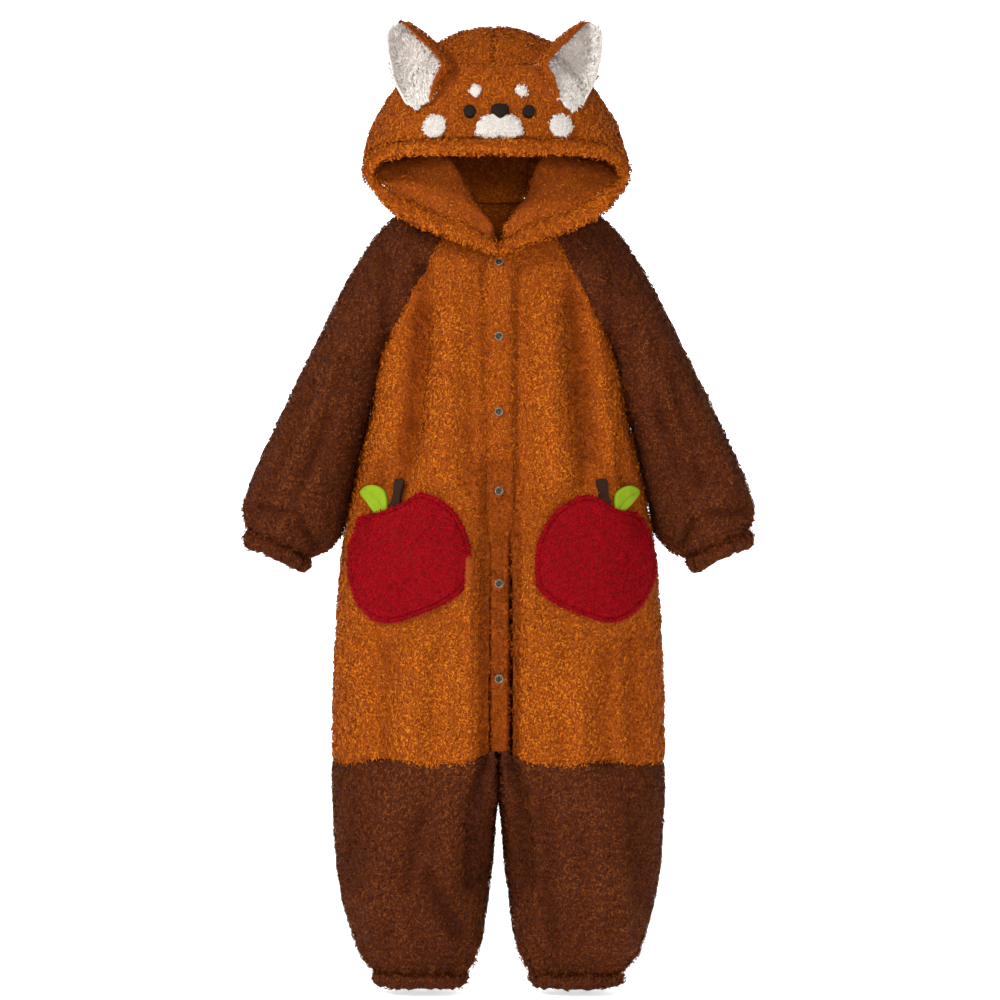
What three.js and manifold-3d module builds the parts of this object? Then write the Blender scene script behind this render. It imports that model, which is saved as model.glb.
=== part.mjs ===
// Hooded costume onesie of curly fleece for a child of about 120 cm: animal ears and face on the
// hood, raglan shoulders, gathered cuffs, a button band and two apple pockets.
// Millimetres. +Z up, the front faces -Y. The origin is between the shoulders, level with the neck.

import * as THREE from 'three';
import { mergeVertices } from 'three/addons/utils/BufferGeometryUtils.js';
import Module from 'manifold-3d';

const wasm = await Module();
wasm.setup();

// ---------------------------------------------------------------- driving dimensions

const SEAM_GAP = 0.3;
const WALL = 5;
const UNDERARM_Z = -172;
const WAIST_SEAM_Z = -713;
const CROTCH_DROP = 35;
const SQUARENESS = 2.3;
const UNDERARM_ROW = 6;
const BAND = { left: -15, right: 19, raise: 2.5, thickness: 4, span: [0.004, 0.985] };
const BUTTON = { x: 0.5, radius: 6, rim: 3.6, bevel: 0.36, thickness: 3.2, recess: 1.2, sides: 12 };
const BUTTON_HEIGHTS = [-54, -151, -249, -351, -471, -594];
const HEM = { thickness: 11, segments: 44, sides: 8, lump: 0.7, lumpStep: 2.1 };
const HOOD_LEAN = { shift: -5, from: 20, to: 110 };
/** How far a piece reaches into its carrier before it is cut to lie on it. */
const SINK = 1.4;
/** Step for taking the slope of a surface, and rounds for finding a place on one. */
const SLOPE_STEP = 1e-3;
const PLACE_ROUNDS = 14;

const COLOURS = {
  orange: 0xb9601c,
  brown: 0x4a2414,
  white: 0xf1ede6,
  dark: 0x2a1c16,
  red: 0xa60e24,
  leaf: 0x8fd42a,
  stem: 0x3c2116,
  metal: 0x8c7f70,
};

// Half of the body, from the neckline down. Centre depth and height, then the point where the
// front meets the raglan seam or, from the underarm down, the side seam.
const FRONT_ROWS = [
  { centreY: -77, centreZ: -31, seamX: 63, seamY: -49, seamZ: 1 },
  { centreY: -80, centreZ: -48, seamX: 79, seamY: -62, seamZ: -24 },
  { centreY: -84, centreZ: -68, seamX: 93, seamY: -69, seamZ: -50 },
  { centreY: -88, centreZ: -92, seamX: 106, seamY: -70, seamZ: -76 },
  { centreY: -91, centreZ: -118, seamX: 120, seamY: -64, seamZ: -104 },
  { centreY: -93, centreZ: -144, seamX: 135, seamY: -46, seamZ: -135 },
  { centreY: -95, centreZ: UNDERARM_Z, seamX: 152, seamY: 0, seamZ: UNDERARM_Z },
  { centreY: -100, centreZ: -236, seamX: 166, seamY: 0, seamZ: -236 },
  { centreY: -104, centreZ: -290, seamX: 180, seamY: 0, seamZ: -290 },
  { centreY: -107, centreZ: -347, seamX: 193, seamY: 0, seamZ: -347 },
  { centreY: -110, centreZ: -410, seamX: 205, seamY: 0, seamZ: -410 },
  { centreY: -112, centreZ: -475, seamX: 212, seamY: 0, seamZ: -475 },
  { centreY: -112, centreZ: -541, seamX: 216, seamY: 0, seamZ: -541 },
  { centreY: -110, centreZ: -600, seamX: 219, seamY: 0, seamZ: -600 },
  { centreY: -108, centreZ: -657, seamX: 220, seamY: 0, seamZ: -657 },
  { centreY: -105, centreZ: WAIST_SEAM_Z, seamX: 220, seamY: 0, seamZ: WAIST_SEAM_Z },
];
const BACK_ROWS = [
  { centreY: 58, centreZ: 39, seamX: 70, seamY: 25, seamZ: 43 },
  { centreY: 68, centreZ: 20, seamX: 86, seamY: 46, seamZ: 12 },
  { centreY: 75, centreZ: -8, seamX: 100, seamY: 58, seamZ: -22 },
  { centreY: 80, centreZ: -42, seamX: 113, seamY: 62, seamZ: -60 },
  { centreY: 83, centreZ: -82, seamX: 125, seamY: 58, seamZ: -98 },
  { centreY: 85, centreZ: -128, seamX: 138, seamY: 42, seamZ: -136 },
  { centreY: 86, centreZ: UNDERARM_Z, seamX: 152, seamY: 0, seamZ: UNDERARM_Z },
  { centreY: 90, centreZ: -236, seamX: 166, seamY: 0, seamZ: -236 },
  { centreY: 94, centreZ: -290, seamX: 180, seamY: 0, seamZ: -290 },
  { centreY: 97, centreZ: -347, seamX: 193, seamY: 0, seamZ: -347 },
  { centreY: 100, centreZ: -410, seamX: 205, seamY: 0, seamZ: -410 },
  { centreY: 103, centreZ: -475, seamX: 212, seamY: 0, seamZ: -475 },
  { centreY: 105, centreZ: -541, seamX: 216, seamY: 0, seamZ: -541 },
  { centreY: 105, centreZ: -600, seamX: 219, seamY: 0, seamZ: -600 },
  { centreY: 103, centreZ: -657, seamX: 220, seamY: 0, seamZ: -657 },
  { centreY: 100, centreZ: WAIST_SEAM_Z, seamX: 220, seamY: 0, seamZ: WAIST_SEAM_Z },
];

// Sleeve rings from the drop-shoulder seam to the cuff: outer and inner edge, half depth in Y.
const SLEEVE_RINGS = [
  { outerX: 212, outerZ: -95, innerX: 153, innerZ: -174, halfDepth: 57 },
  { outerX: 233, outerZ: -138, innerX: 162, innerZ: -204, halfDepth: 60 },
  { outerX: 254, outerZ: -181, innerX: 170, innerZ: -236, halfDepth: 63 },
  { outerX: 275, outerZ: -224, innerX: 180, innerZ: -272, halfDepth: 65 },
  { outerX: 294, outerZ: -264, innerX: 190, innerZ: -308, halfDepth: 66 },
  { outerX: 313, outerZ: -304, innerX: 200, innerZ: -345, halfDepth: 66 },
  { outerX: 329, outerZ: -341, innerX: 208, innerZ: -381, halfDepth: 63 },
  { outerX: 336, outerZ: -368, innerX: 213, innerZ: -408, halfDepth: 57 },
  { outerX: 335, outerZ: -388, innerX: 226, innerZ: -428, halfDepth: 49 },
  { outerX: 331, outerZ: -401, innerX: 248, innerZ: -438, halfDepth: 40 },
];
const WRIST_RINGS = [
  { outerX: 331, outerZ: -401.5, innerX: 248.5, innerZ: -438.5, halfDepth: 39 },
  { outerX: 331, outerZ: -414, innerX: 255, innerZ: -448, halfDepth: 37 },
  { outerX: 328, outerZ: -427, innerX: 261, innerZ: -457, halfDepth: 34 },
];

// Leg rings below the crotch, one height each: outer and inner edge, half depth, roundness.
const LEG_RINGS = [
  { z: -757, outer: 219, inner: 1.6, front: -101, back: 97, squareness: 2.9 },
  { z: -799, outer: 217, inner: 5, front: -97, back: 93, squareness: 2.5 },
  { z: -838, outer: 214.5, inner: 7, front: -92, back: 88, squareness: 2.3 },
  { z: -878, outer: 209, inner: 12, front: -86, back: 82, squareness: 2.2 },
  { z: -914, outer: 200, inner: 17, front: -79, back: 76, squareness: 2.1 },
  { z: -942, outer: 191, inner: 21, front: -70, back: 68, squareness: 2 },
  { z: -965, outer: 179, inner: 30, front: -59, back: 58, squareness: 2 },
  { z: -983, outer: 163, inner: 41, front: -49, back: 48, squareness: 2 },
];
/** Share of the leg's turn where the crotch curve begins, and where the walls stand upright. */
const LEG = { crotchCorner: 0.375, uprightFrom: 0.01, uprightTo: 0.08, span: [0, 0.999] };
const ANKLE_RINGS = [
  { z: -983.5, outer: 162, inner: 42, front: -48, back: 47, squareness: 2 },
  { z: -995, outer: 160, inner: 45, front: -47, back: 46, squareness: 2 },
  { z: -1007, outer: 156, inner: 49, front: -45, back: 44, squareness: 2 },
];

// Ribs of the hood's half, from the throat over the side to the middle of the crown. Each rib
// runs from the rim of the face opening to the neckline.
const HOOD_RIBS = [
  { rim: [7, -104, -46], band: [10, -99, -24], lapel: [9, -94, -15], fold: [8, -88, -9],
    crest: [8, -81, -8], inner: [7, -76, -12], nape: [6, -74, -20] },
  { rim: [51, -104, -29], band: [43, -94, -3], lapel: [40, -87, 10], fold: [37, -78, 22],
    crest: [34, -67, 26], inner: [34, -60, 17], nape: [36, -60, 0] },
  { rim: [107, -100, -8], band: [95, -90, 17], lapel: [88, -80, 41], fold: [78, -66, 68],
    crest: [66, -52, 84], inner: [58, -41, 66], nape: [59, -41, 36] },
  { rim: [147, -98, 18], band: [142, -88, 42], lapel: [140, -68, 62], fold: [129, -42, 80],
    crest: [110, -20, 86], inner: [88, -10, 75], nape: [78, -14, 52] },
  { rim: [162, -96, 54], band: [169, -72, 68], lapel: [169, -40, 82], fold: [160, 0, 96],
    crest: [135, 34, 97], inner: [105, 38, 82], nape: [86, 24, 62] },
  { rim: [143, -110, 76], band: [153, -90, 94], lapel: [155, -52, 118], fold: [141, 10, 151],
    crest: [118, 70, 152], inner: [98, 84, 112], nape: [77, 62, 74] },
  { rim: [92, -138, 80], band: [98, -126, 101], lapel: [110, -94, 150], fold: [91, -62, 199],
    crest: [88, 20, 230], inner: [76, 92, 186], nape: [52, 92, 104] },
  { rim: [0, -155, 79], band: [0, -144, 101], lapel: [0, -113, 154], fold: [0, -88, 203],
    crest: [0, -10, 260], inner: [0, 92, 216], nape: [0, 104, 112] },
];
const RIB = { throat: 0, faceSide: 4.55, middle: 7 };
const NECK_RIB = { throatX: 5, frontRaglan: 2, backRaglan: 4.75, middle: 7, lift: 0.9 };

// Neckline between the two raglan seams, over the shoulder.
const SHOULDER_NECK = [[63, -49, 1], [76, -22, 26], [79, 4, 40], [70, 25, 43]];
// The yoke between its two raglan seams: lines from the neckline to the drop-shoulder seam.
const YOKE_LINES = [
  { share: 0.25, inner: [96, -48, 3], middle: [128, -63, -42], outer: [160, -62, -91] },
  { share: 0.5, inner: [112, 2, 29], middle: [158, 1, -7], outer: [192, 0, -58] },
  { share: 0.75, inner: [98, 42, 16], middle: [130, 58, -32], outer: [160, 57, -86] },
];

const YOKE = { span: [0.004, 0.996], blendFrom: 0.75, reach: 200 };

// Soft ridges (height above 0) and troughs (below 0) on the front, a line from top to bottom.
const FRONT_FOLDS = [
  { x0: 0, z0: -330, x1: 0, z1: -690, width: 26, height: -9 },
  { x0: -98, z0: -125, x1: -116, z1: -300, width: 14, height: -6 },
  { x0: 101, z0: -108, x1: 124, z1: -300, width: 14, height: -6 },
  { x0: -60, z0: -150, x1: -72, z1: -300, width: 20, height: 4 },
  { x0: 62, z0: -130, x1: 78, z1: -330, width: 20, height: 4 },
  { x0: -105, z0: -620, x1: -112, z1: -690, width: 45, height: 6 },
  { x0: 105, z0: -620, x1: 112, z1: -700, width: 45, height: 6 },
  { x0: -97, z0: -545, x1: -110, z1: -693, width: 15, height: 4 },
  { x0: 68, z0: -545, x1: 114, z1: -680, width: 15, height: 4 },
  { x0: -143, z0: -560, x1: -143, z1: -700, width: 12, height: -5 },
  { x0: 141, z0: -560, x1: 141, z1: -707, width: 12, height: -5 },
  { x0: -148, z0: -45, x1: -146, z1: -150, width: 9, height: -4 },
  { x0: 150, z0: -50, x1: 145, z1: -145, width: 9, height: -3 },
  { x0: -123, z0: -730, x1: -163, z1: -911, width: 17, height: 6 },
  { x0: -90, z0: -851, x1: -51, z1: -924, width: 12, height: -6 },
  { x0: 121, z0: -746, x1: 167, z1: -944, width: 17, height: 6 },
  { x0: 174, z0: -759, x1: 187, z1: -880, width: 10, height: -4 },
  { x0: 60, z0: -860, x1: 75, z1: -940, width: 11, height: -4 },
  { x0: -213, z0: -185, x1: -275, z1: -337, width: 14, height: 5 },
  { x0: -245, z0: -210, x1: -300, z1: -350, width: 10, height: -4 },
  { x0: 193, z0: -160, x1: 250, z1: -300, width: 14, height: 5 },
  { x0: 226, z0: -198, x1: 262, z1: -337, width: 10, height: -5 },
];
const BACK_FOLDS = [
  { x0: 0, z0: -560, x1: 0, z1: -700, width: 24, height: -8 },
  { x0: -96, z0: -120, x1: -118, z1: -330, width: 15, height: -5 },
  { x0: 94, z0: -135, x1: 124, z1: -370, width: 15, height: -6 },
  { x0: -30, z0: -260, x1: -48, z1: -420, width: 22, height: 4 },
  { x0: 44, z0: -300, x1: 30, z1: -470, width: 22, height: 4 },
  { x0: 105, z0: -600, x1: 112, z1: -690, width: 45, height: 6 },
  { x0: -105, z0: -610, x1: -110, z1: -700, width: 45, height: 6 },
  { x0: -140, z0: -540, x1: -150, z1: -690, width: 13, height: -5 },
  { x0: 138, z0: -560, x1: 144, z1: -700, width: 13, height: -5 },
  { x0: 118, z0: -740, x1: 158, z1: -920, width: 17, height: 6 },
  { x0: -120, z0: -735, x1: -150, z1: -900, width: 17, height: 5 },
  { x0: -70, z0: -850, x1: -60, z1: -930, width: 12, height: -5 },
  { x0: 72, z0: -840, x1: 66, z1: -925, width: 12, height: -5 },
  { x0: -218, z0: -190, x1: -272, z1: -330, width: 14, height: 5 },
  { x0: 205, z0: -180, x1: 262, z1: -320, width: 14, height: 5 },
];
const FOLD_FADE_DEPTH = 35;
const CUFF_RIPPLE = { height: 1, wrist: 15, ankle: 18 };

const EAR_ROWS = [
  { z: 138, x: 96, y: -95, halfWidth: 14, depth: 20 },
  { z: 158, x: 97, y: -93, halfWidth: 24, depth: 31 },
  { z: 180, x: 98, y: -89, halfWidth: 36, depth: 40 },
  { z: 199, x: 95, y: -84, halfWidth: 44, depth: 46 },
  { z: 218, x: 102, y: -77, halfWidth: 39, depth: 48 },
  { z: 242, x: 115, y: -68, halfWidth: 26, depth: 40 },
  { z: 255, x: 120, y: -62, halfWidth: 15, depth: 27 },
  { z: 263, x: 121, y: -59, halfWidth: 4, depth: 12 },
];
const EAR = { turn: 0.6, curl: 0.25, wall: 5, liningWall: 4, columns: 12, rows: 7 };
const HOOD_CUTTER_DEPTH = 60;

// Small pieces on the hood's face, seen from the front: centre, half sizes, lean, thickness.
const FACE_DOTS = [
  { name: 'brow_left', x: -30, z: 165, halfWidth: 8, halfHeight: 8, lean: 0, rise: 4, colour: 'white' },
  { name: 'brow_right', x: 30, z: 165, halfWidth: 8, halfHeight: 8, lean: 0, rise: 4, colour: 'white' },
  { name: 'eye_left', x: -37, z: 137, halfWidth: 8, halfHeight: 8, lean: 0, rise: 3, colour: 'dark' },
  { name: 'eye_right', x: 39, z: 137, halfWidth: 8, halfHeight: 8, lean: 0, rise: 3, colour: 'dark' },
  { name: 'cheek_left', x: -82, z: 117, halfWidth: 15, halfHeight: 16, lean: -0.5, rise: 5, colour: 'white' },
  { name: 'cheek_right', x: 80, z: 118, halfWidth: 15, halfHeight: 16, lean: 0.5, rise: 5, colour: 'white' },
];
const MUZZLE = {
  centre: [1, 115],
  rise: 7,
  outline: [[-28, 104], [-30, 110], [-27, 119], [-19, 128], [-8, 133], [1, 134], [10, 133], [21, 128],
    [29, 119], [32, 110], [30, 104], [1, 103]],
};
const NOSE = {
  centre: [2, 137],
  rise: 6,
  socket: { grow: 1.06, rise: 24 },
  outline: [[-9, 140], [-5, 145], [2, 146], [9, 145], [13, 140], [9, 131], [2, 127], [-5, 131]],
};

// Apple pockets as seen from the front, round the outline from the mouth's outer corner.
const POCKETS = [
  {
    side: -1,
    name: 'left',
    centre: [-114, -437],
    outline: [[-180, -387], [-153, -379], [-125, -369], [-96, -354], [-60, -374], [-41, -408], [-35, -441],
      [-43, -475], [-64, -493], [-92, -507], [-138, -522], [-166, -515], [-184, -494], [-193, -460],
      [-193, -425], [-185, -402]],
    leaf: [[-177, -352], [-163, -344], [-148, -350], [-143, -366], [-145, -380], [-156, -382], [-169, -366]],
    stem: { top: [-128, -338], bottom: [-134, -376], halfWidth: 6 },
  },
  {
    side: 1,
    name: 'right',
    centre: [124, -437],
    outline: [[182, -383], [152, -376], [130, -363], [108, -357], [75, -376], [55, -408], [47, -441],
      [50, -472], [64, -490], [96, -507], [140, -521], [168, -514], [190, -492], [202, -463],
      [204, -442], [196, -410]],
    leaf: [[181, -352], [167, -345], [153, -353], [150, -365], [152, -376], [161, -378], [173, -366]],
    stem: { top: [134, -338], bottom: [139, -375], halfWidth: 6.5 },
  },
];
const POCKET = { wall: 4.5, plump: 3, mouthGap: 5.4, mouthSteep: 2, belly: 2.5, mouthShare: 0.25 };
const FELT = 1.8;
const NECK_TAPE = { rib: 6.2, from: 6.45, to: 6.96, wall: 2 };

// ---------------------------------------------------------------- curves and surfaces

const vec = ([x, y, z]) => new THREE.Vector3(x, y, z);
const clamp01 = value => Math.min(Math.max(value, 0), 1);
const ramp = (value, from, to) => {
  const t = clamp01((value - from) / (to - from));
  return t * t * (3 - 2 * t);
};
const signedPower = (value, exponent) => Math.sign(value) * Math.abs(value) ** exponent;

/** Smooth curve through points `first` to `last`; both ends go on straight. */
function through(pointAt, last, place, first = 0) {
  const start = Math.min(Math.max(Math.floor(place), first), last - 1);
  const t = place - start;
  const at = index => {
    if (index < first) return pointAt(first).clone().multiplyScalar(2).sub(pointAt(first + 1));
    if (index > last) return pointAt(last).clone().multiplyScalar(2).sub(pointAt(last - 1));
    return pointAt(index);
  };
  const [a, b, c, d] = [at(start - 1), at(start), at(start + 1), at(start + 2)];
  const result = b.clone().multiplyScalar(2);
  result.addScaledVector(c.clone().sub(a), t);
  const bend = a.clone().multiplyScalar(2).addScaledVector(b, -5).addScaledVector(c, 4).sub(d);
  result.addScaledVector(bend, t * t);
  result.addScaledVector(b.clone().multiplyScalar(3).sub(a).addScaledVector(c, -3).add(d), t * t * t);
  return result.multiplyScalar(0.5);
}

/**
 * Surface over a list of cross curves: u runs along each, v from the first curve to the last.
 * At the curve numbered `corner` the lengthwise lines may bend.
 */
function loft(curves, corner = 0) {
  const last = curves.length - 1;
  return (u, v) => {
    const place = v * last;
    const above = corner > 0 && place < corner;
    return through(index => curves[index](u), above ? corner : last, place, above ? 0 : corner);
  };
}

/** One row of the body, an arc from the centre line to the seam. */
function bodyArc(row) {
  const power = SQUARENESS / 2;
  const seamAngle = Math.acos((row.seamY / row.centreY) ** power);
  const width = row.seamX / Math.sin(seamAngle) ** (1 / power);
  return {
    angleAt: x => Math.asin((Math.abs(x) / width) ** power),
    seamAngle,
    point: angle => {
      const x = width * signedPower(Math.sin(angle), 1 / power);
      const y = row.centreY * signedPower(Math.cos(angle), 1 / power);
      const z = row.centreZ + (row.seamZ - row.centreZ) * (x / row.seamX) ** 2;
      return new THREE.Vector3(x, y, z);
    },
  };
}

/** Body panel from a line at startX to the seam. */
function bodyPanel(rows, startX) {
  return loft(rows.map(row => {
    const arc = bodyArc(row);
    const startAngle = startX > 0 ? arc.angleAt(startX) : 0;
    return u => arc.point(startAngle + (arc.seamAngle - startAngle) * u);
  }), UNDERARM_ROW);
}

/** Strip of the front between two lines, measured from the centre. */
function frontStrip(leftX, rightX) {
  return loft(FRONT_ROWS.map(row => {
    const arc = bodyArc(row);
    return u => {
      const x = leftX + (rightX - leftX) * u;
      const point = arc.point(arc.angleAt(x));
      point.x = x;
      return point;
    };
  }), UNDERARM_ROW);
}

/** Half of the neckline by rib number, from the throat to the middle of the back. */
function necklineAt(rib) {
  if (rib <= NECK_RIB.frontRaglan) {
    const arc = bodyArc(FRONT_ROWS[0]);
    const share = rib / NECK_RIB.frontRaglan;
    const x = NECK_RIB.throatX + (FRONT_ROWS[0].seamX - NECK_RIB.throatX) * share;
    return arc.point(Math.min(arc.angleAt(x), arc.seamAngle));
  }
  if (rib <= NECK_RIB.backRaglan) {
    const share = (rib - NECK_RIB.frontRaglan) / (NECK_RIB.backRaglan - NECK_RIB.frontRaglan);
    const last = SHOULDER_NECK.length - 1;
    return through(index => vec(SHOULDER_NECK[index]), last, share * last);
  }
  const arc = bodyArc(BACK_ROWS[0]);
  const share = (NECK_RIB.middle - rib) / (NECK_RIB.middle - NECK_RIB.backRaglan);
  return arc.point(arc.seamAngle * share);
}

/** Point of a ring that is given by its outer and inner edge; angle 0 is the outer edge. */
function armRing(ring) {
  const outer = new THREE.Vector3(ring.outerX, 0, ring.outerZ);
  const inner = new THREE.Vector3(ring.innerX, 0, ring.innerZ);
  const centre = outer.clone().add(inner).multiplyScalar(0.5);
  const reach = outer.clone().sub(inner).multiplyScalar(0.5);
  return turn => {
    const angle = turn * 2 * Math.PI;
    const point = centre.clone().addScaledVector(reach, Math.cos(angle));
    point.y = ring.halfDepth * Math.sin(angle);
    return point;
  };
}
const armTube = rings => loft(rings.map(armRing));

/** Shoulder piece: u from the front raglan seam over the top to the back one, v outwards. */
function yokeSurface() {
  const seamLine = rows => place => {
    const seam = rows.map(row => new THREE.Vector3(row.seamX, row.seamY, row.seamZ));
    return through(index => seam[index], UNDERARM_ROW, place * UNDERARM_ROW);
  };
  const ring = armRing(SLEEVE_RINGS[0]);
  const middleLine = line => {
    const neckRib = NECK_RIB.frontRaglan + (NECK_RIB.backRaglan - NECK_RIB.frontRaglan) * line.share;
    const points = [necklineAt(neckRib), vec(line.inner), vec(line.middle), vec(line.outer),
      ring(line.share + 0.5)];
    return place => through(index => points[index], points.length - 1, place * (points.length - 1));
  };
  const lines = [seamLine(FRONT_ROWS), ...YOKE_LINES.map(middleLine), seamLine(BACK_ROWS)];
  return (u, v) => {
    const edge = ring(u + 0.5);
    if (v >= 1) return edge;
    const inside = through(index => lines[index](v), lines.length - 1, u * (lines.length - 1));
    const hemBlend = ramp(v, YOKE.blendFrom, 1);
    const loose = through(index => lines[index](1), lines.length - 1, u * (lines.length - 1));
    return inside.addScaledVector(edge.sub(loose), hemBlend);
  };
}

/** Ring of a leg; turn 0 is the outer side, 0.25 the back, 0.5 the inner side. */
function legRing(ring) {
  const centreX = (ring.outer + ring.inner) / 2;
  const halfWidth = (ring.outer - ring.inner) / 2;
  return turn => {
    const angle = turn * 2 * Math.PI;
    const x = centreX + halfWidth * signedPower(Math.cos(angle), 2 / ring.squareness);
    const side = Math.sin(angle);
    const y = (side < 0 ? -ring.front : ring.back) * signedPower(side, 2 / ring.squareness);
    return new THREE.Vector3(x, y, ring.z);
  };
}

/** Top edge of a leg: half of the body's lowest ring, closed by the crotch curve. */
function legTop() {
  const front = bodyArc(FRONT_ROWS[FRONT_ROWS.length - 1]);
  const back = bodyArc(BACK_ROWS[BACK_ROWS.length - 1]);
  return turn => {
    const wrapped = turn - Math.floor(turn);
    const signed = wrapped > 0.5 ? wrapped - 1 : wrapped;
    let point;
    if (Math.abs(signed) <= LEG.crotchCorner) {
      const arc = signed < 0 ? front : back;
      point = arc.point(arc.seamAngle * (1 - Math.abs(signed) / LEG.crotchCorner));
    } else {
      const share = (wrapped - LEG.crotchCorner) / (1 - 2 * LEG.crotchCorner);
      const backY = BACK_ROWS[BACK_ROWS.length - 1].centreY;
      const frontY = FRONT_ROWS[FRONT_ROWS.length - 1].centreY;
      const drop = CROTCH_DROP * Math.sin(Math.PI * share);
      point = new THREE.Vector3(0, backY + (frontY - backY) * share, WAIST_SEAM_Z - drop);
    }
    point.x = Math.max(point.x, SEAM_GAP);
    point.z -= SEAM_GAP;
    return point;
  };
}
const legTube = () => loft([legTop(), ...LEG_RINGS.map(legRing)]);
const ankleTube = () => loft(ANKLE_RINGS.map(legRing));

/** Whole hood: ribs 0 to 7 on one side and 7 to 14 mirrored; v runs from the rim to the neck. */
function hoodSurface(rib, across) {
  const mirrored = rib > RIB.middle;
  const own = mirrored ? 2 * RIB.middle - rib : rib;
  const names = ['rim', 'band', 'lapel', 'fold', 'crest', 'inner', 'nape'];
  const mirroredRib = index => {
    const source = index > RIB.middle ? 2 * RIB.middle - index : index;
    const side = index > RIB.middle ? -1 : 1;
    return name => {
      const [x, y, z] = HOOD_RIBS[source][name];
      return new THREE.Vector3(side * x, y, z);
    };
  };
  const column = index => {
    if (index === names.length) {
      const neck = necklineAt(own);
      neck.z += NECK_RIB.lift;
      return neck;
    }
    return through(rib2 => mirroredRib(rib2)(names[index]), 2 * RIB.middle, own);
  };
  const point = through(column, names.length, across);
  if (mirrored) point.x = -point.x;
  point.x += HOOD_LEAN.shift * ramp(point.z, HOOD_LEAN.from, HOOD_LEAN.to);
  return point;
}

/** Height of the folds over a point of the body, sleeves or legs. */
function foldHeight(point) {
  const folds = point.y < 0 ? FRONT_FOLDS : BACK_FOLDS;
  let height = 0;
  for (const fold of folds) {
    const dx = fold.x1 - fold.x0;
    const dz = fold.z1 - fold.z0;
    const share = clamp01(((point.x - fold.x0) * dx + (point.z - fold.z0) * dz) / (dx * dx + dz * dz));
    const away = Math.hypot(point.x - fold.x0 - dx * share, point.z - fold.z0 - dz * share);
    height += fold.height * Math.exp(-((away / fold.width) ** 2));
  }
  return height * ramp(Math.abs(point.y), 0, FOLD_FADE_DEPTH);
}

/** Point and outward normal of a surface; `side` is 1 or -1 for the surface's own winding. */
function frameAt(surface, side, u, v) {
  const along = surface(u + SLOPE_STEP, v).sub(surface(u - SLOPE_STEP, v));
  const down = surface(u, v + SLOPE_STEP).sub(surface(u, v - SLOPE_STEP));
  return { point: surface(u, v), normal: along.cross(down).normalize().multiplyScalar(side) };
}

const mirrorX = point => new THREE.Vector3(-point.x, point.y, point.z);

// ---------------------------------------------------------------- solids

const group = new THREE.Group();
const CLOTH_ROUGHNESS = 0.95;
const METAL = { roughness: 0.45, metalness: 0.7 };

function signedVolume(points, faces) {
  let total = 0;
  for (const [a, b, c] of faces) total += points[a].dot(points[b].clone().cross(points[c])) / 6;
  return total;
}

function toGeometry(points, faces) {
  const outward = signedVolume(points, faces) > 0;
  const geometry = new THREE.BufferGeometry();
  const order = outward ? faces : faces.map(([a, b, c]) => [a, c, b]);
  geometry.setAttribute('position', new THREE.Float32BufferAttribute(points.flatMap(p => p.toArray()), 3));
  geometry.setIndex(order.flat());
  return geometry;
}

function addPiece(name, geometry, colour) {
  const finish = colour === 'metal' ? METAL : { roughness: CLOTH_ROUGHNESS, metalness: 0 };
  const material = new THREE.MeshStandardMaterial({ color: COLOURS[colour], ...finish });
  const mesh = new THREE.Mesh(geometry, material);
  mesh.name = name;
  group.add(mesh);
}

/** Two skins over a grid of cells, joined round the open edges; `ring` closes it in u. */
function skinsToGeometry(outer, inner, columns, rows, ring) {
  const points = [...outer, ...inner];
  const width = ring ? columns : columns + 1;
  const shift = outer.length;
  const at = (i, j) => j * width + (ring ? i % columns : i);
  const faces = [];
  const quad = (a, b, c, d) => faces.push([a, b, c], [a, c, d]);
  for (let j = 0; j < rows; j += 1) {
    for (let i = 0; i < columns; i += 1) {
      quad(at(i, j), at(i + 1, j), at(i + 1, j + 1), at(i, j + 1));
      quad(at(i, j) + shift, at(i, j + 1) + shift, at(i + 1, j + 1) + shift, at(i + 1, j) + shift);
    }
  }
  for (let i = 0; i < columns; i += 1) {
    quad(at(i + 1, 0), at(i, 0), at(i, 0) + shift, at(i + 1, 0) + shift);
    quad(at(i, rows), at(i + 1, rows), at(i + 1, rows) + shift, at(i, rows) + shift);
  }
  if (!ring) {
    for (let j = 0; j < rows; j += 1) {
      quad(at(0, j), at(0, j + 1), at(0, j + 1) + shift, at(0, j) + shift);
      quad(at(columns, j + 1), at(columns, j), at(columns, j) + shift, at(columns, j + 1) + shift);
    }
  }
  return toGeometry(points, faces);
}

/**
 * Wall of cloth over part of a surface. `out` and `deep` are how far its two skins lie from the
 * surface, `relief` gives the height of the folds at a point.
 */
function wall(options) {
  const { surface, side, u, v, columns, rows, ring, mirror } = options;
  const out = options.out ?? 0;
  const deep = options.deep ?? WALL;
  const relief = options.relief ?? (() => 0);
  const outer = [];
  const inner = [];
  const width = ring ? columns : columns + 1;
  for (let j = 0; j <= rows; j += 1) {
    for (let i = 0; i < width; i += 1) {
      const uHere = u[0] + (u[1] - u[0]) * (i / columns);
      const vHere = v[0] + (v[1] - v[0]) * (options.spacing ? options.spacing(j / rows) : j / rows);
      const { point, normal } = frameAt(surface, side, uHere, vHere);
      if (options.upright) {
        normal.z *= options.upright(vHere);
        normal.normalize();
      }
      if (mirror) {
        point.x = -point.x;
        normal.x = -normal.x;
      }
      const height = relief(point, uHere, vHere);
      outer.push(point.clone().addScaledVector(normal, height + out));
      inner.push(point.clone().addScaledVector(normal, height - deep));
    }
  }
  return skinsToGeometry(outer, inner, columns, rows, ring);
}

/** Edges pulled in by half a seam gap, for a surface that is `length` long. */
const inset = (range, length) => {
  const pull = SEAM_GAP / 2 / length * Math.abs(range[1] - range[0]);
  return [range[0] + pull, range[1] - pull];
};

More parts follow.
